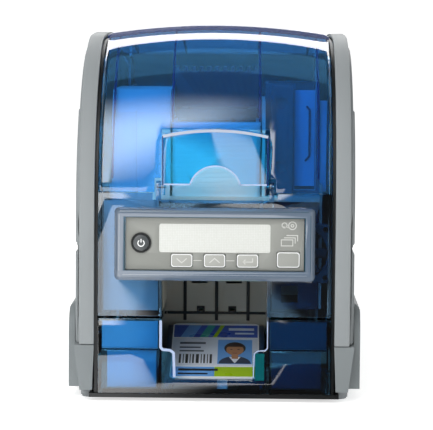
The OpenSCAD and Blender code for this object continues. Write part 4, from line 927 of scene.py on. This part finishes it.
PORTRAIT_U = 12.2
PRINT = [
    ("header_field", "ink_blue", 1, panel(-26.2, 26.2, 63, 82.6)),
    ("header_stripe_1", "ink_sky", 2, panel(-22, -14, 63, 82.6, 5)),
    ("header_stripe_2", "ink_teal", 2, panel(-10, -5, 63, 82.6, 5)),
    ("header_stripe_3", "ink_green", 2, panel(-2, 0.6, 63, 82.6, 5)),
    ("header_bar_1", "ink_paper", 3, panel(8, 24, 74, 78)),
    ("header_bar_2", "ink_paper", 3, panel(12, 24, 68, 70.6)),
    ("body_field", "ink_paper", 1, panel(-26.2, 26.2, 18, 61.4)),
    ("foot_field", "ink_sky", 1, panel(-26.2, 0, 2.2, 16.6)),
    ("foot_band", "ink_green", 1, panel(0, 26.2, 2.2, 16.6)),
    ("name_bar", "ink_black", 3, panel(-22, 2, 10.4, 13.6)),
    ("number_bar", "ink_black", 3, panel(-22, -4, 5, 7.2)),
    ("text_bar_1", "ink_suit", 2, panel(-22, -6, 52, 55)),
    ("text_bar_2", "ink_suit", 2, panel(-22, -9, 45.5, 47.7)),
    ("text_bar_3", "ink_suit", 2, panel(-22, -7, 40, 42.2)),
    ("portrait_field", "ink_sky", 2, panel(1.6, 22.8, 21, 59)),
    ("portrait_coat", "ink_suit", 3, oval(PORTRAIT_U, 21.6, 9.8, 11.4, 0, 180)),
    ("portrait_shirt", "ink_paper", 4, [(PORTRAIT_U - 3.6, 32), (PORTRAIT_U, 22), (PORTRAIT_U + 3.6, 32)]),
    ("portrait_neck", "ink_skin", 5, panel(PORTRAIT_U - 2, PORTRAIT_U + 2, 29, 36)),
    ("portrait_hair", "ink_hair", 5, oval(PORTRAIT_U, 45.4, 6.6, 9.6)),
    ("portrait_head", "ink_skin", 6, oval(PORTRAIT_U, 43, 5.4, 8.6)),
    ("portrait_fringe", "ink_hair", 7, oval(PORTRAIT_U, 47.6, 5.5, 4.6, 0, 180)),
    ("portrait_eye_1", "ink_black", 8, oval(PORTRAIT_U - 2.2, 43.4, 0.8, 0.55, parts=12)),
    ("portrait_eye_2", "ink_black", 8, oval(PORTRAIT_U + 2.2, 43.4, 0.8, 0.55, parts=12)),
    ("portrait_mouth", "ink_lip", 8, oval(PORTRAIT_U, 37.6, 1.7, 0.6, parts=12)),
]
bars = [(-22, 1.2), (-19.6, 0.6), (-18, 1.6), (-15.4, 0.6), (-13.8, 1.0), (-11.6, 1.8), (-8.6, 0.6),
        (-7, 1.0), (-4.8, 0.6), (-3.2, 1.4)]
PRINT += [(f"bar_code_{k + 1}", "ink_black", 2, panel(u, u + w, 22, 36)) for k, (u, w) in enumerate(bars)]
for name, finish, layer, points in PRINT:
    printed_shape("print_" + name, finish, layer, points)
print("print sheets on the card:", len(PRINT))

# %% [markdown]
# Four mouldings of the frame show a second colour in places: the pocket beside the stack is bright
# blue inside and the ribs of the bay's wall are black. The back roof is pale blue underneath and on
# its faces that look forward, a painted light, and the small rib in the bin's low wall is pale, a
# painted highlight.

# %% Second colours
FASCIA_TOP, STACK_HALF = 119, 29
POCKET_LEFT, POCKET_RIGHT, POCKET_BACK = 46.6, 60.6, 52
recoloured("right_guide_box", "cobalt_abs navy_abs", lambda face, x, y, z: 2 if (
    z < FASCIA_TOP or abs(x) < STACK_HALF) else POCKET_LEFT < x < POCKET_RIGHT and y < POCKET_BACK)
# Painted light: the back roof's faces that look forward or down are pale blue.
recoloured("back_roof", "roof_painted_light_blue", lambda face, x, y, z: min(face.normal.y, face.normal.z) < -0.5)
BAY_WALL_T, RIB_PROUD, BAY_RIBS_HALF = 2.4, 0.15, 31
ribs_back = extent("exit_bay")[3] - BAY_WALL_T - RIB_PROUD
recoloured("bay_back_wall", "black_abs", lambda face, x, y, z: y < ribs_back and abs(x) < BAY_RIBS_HALF)
# Painted highlight: the small rib in the bin's low wall is pale.
BIN_RIB_LEFT, BIN_RIB_RIGHT, BIN_RIB_BACK, BIN_RIB_TOP = 1.9, 8.1, 5.2, 12.6
recoloured("pull_out_bin", "lavender_painted_highlight", lambda face, x, y, z: (
    BIN_RIB_LEFT < x < BIN_RIB_RIGHT and 0 < y < BIN_RIB_BACK and z < BIN_RIB_TOP))
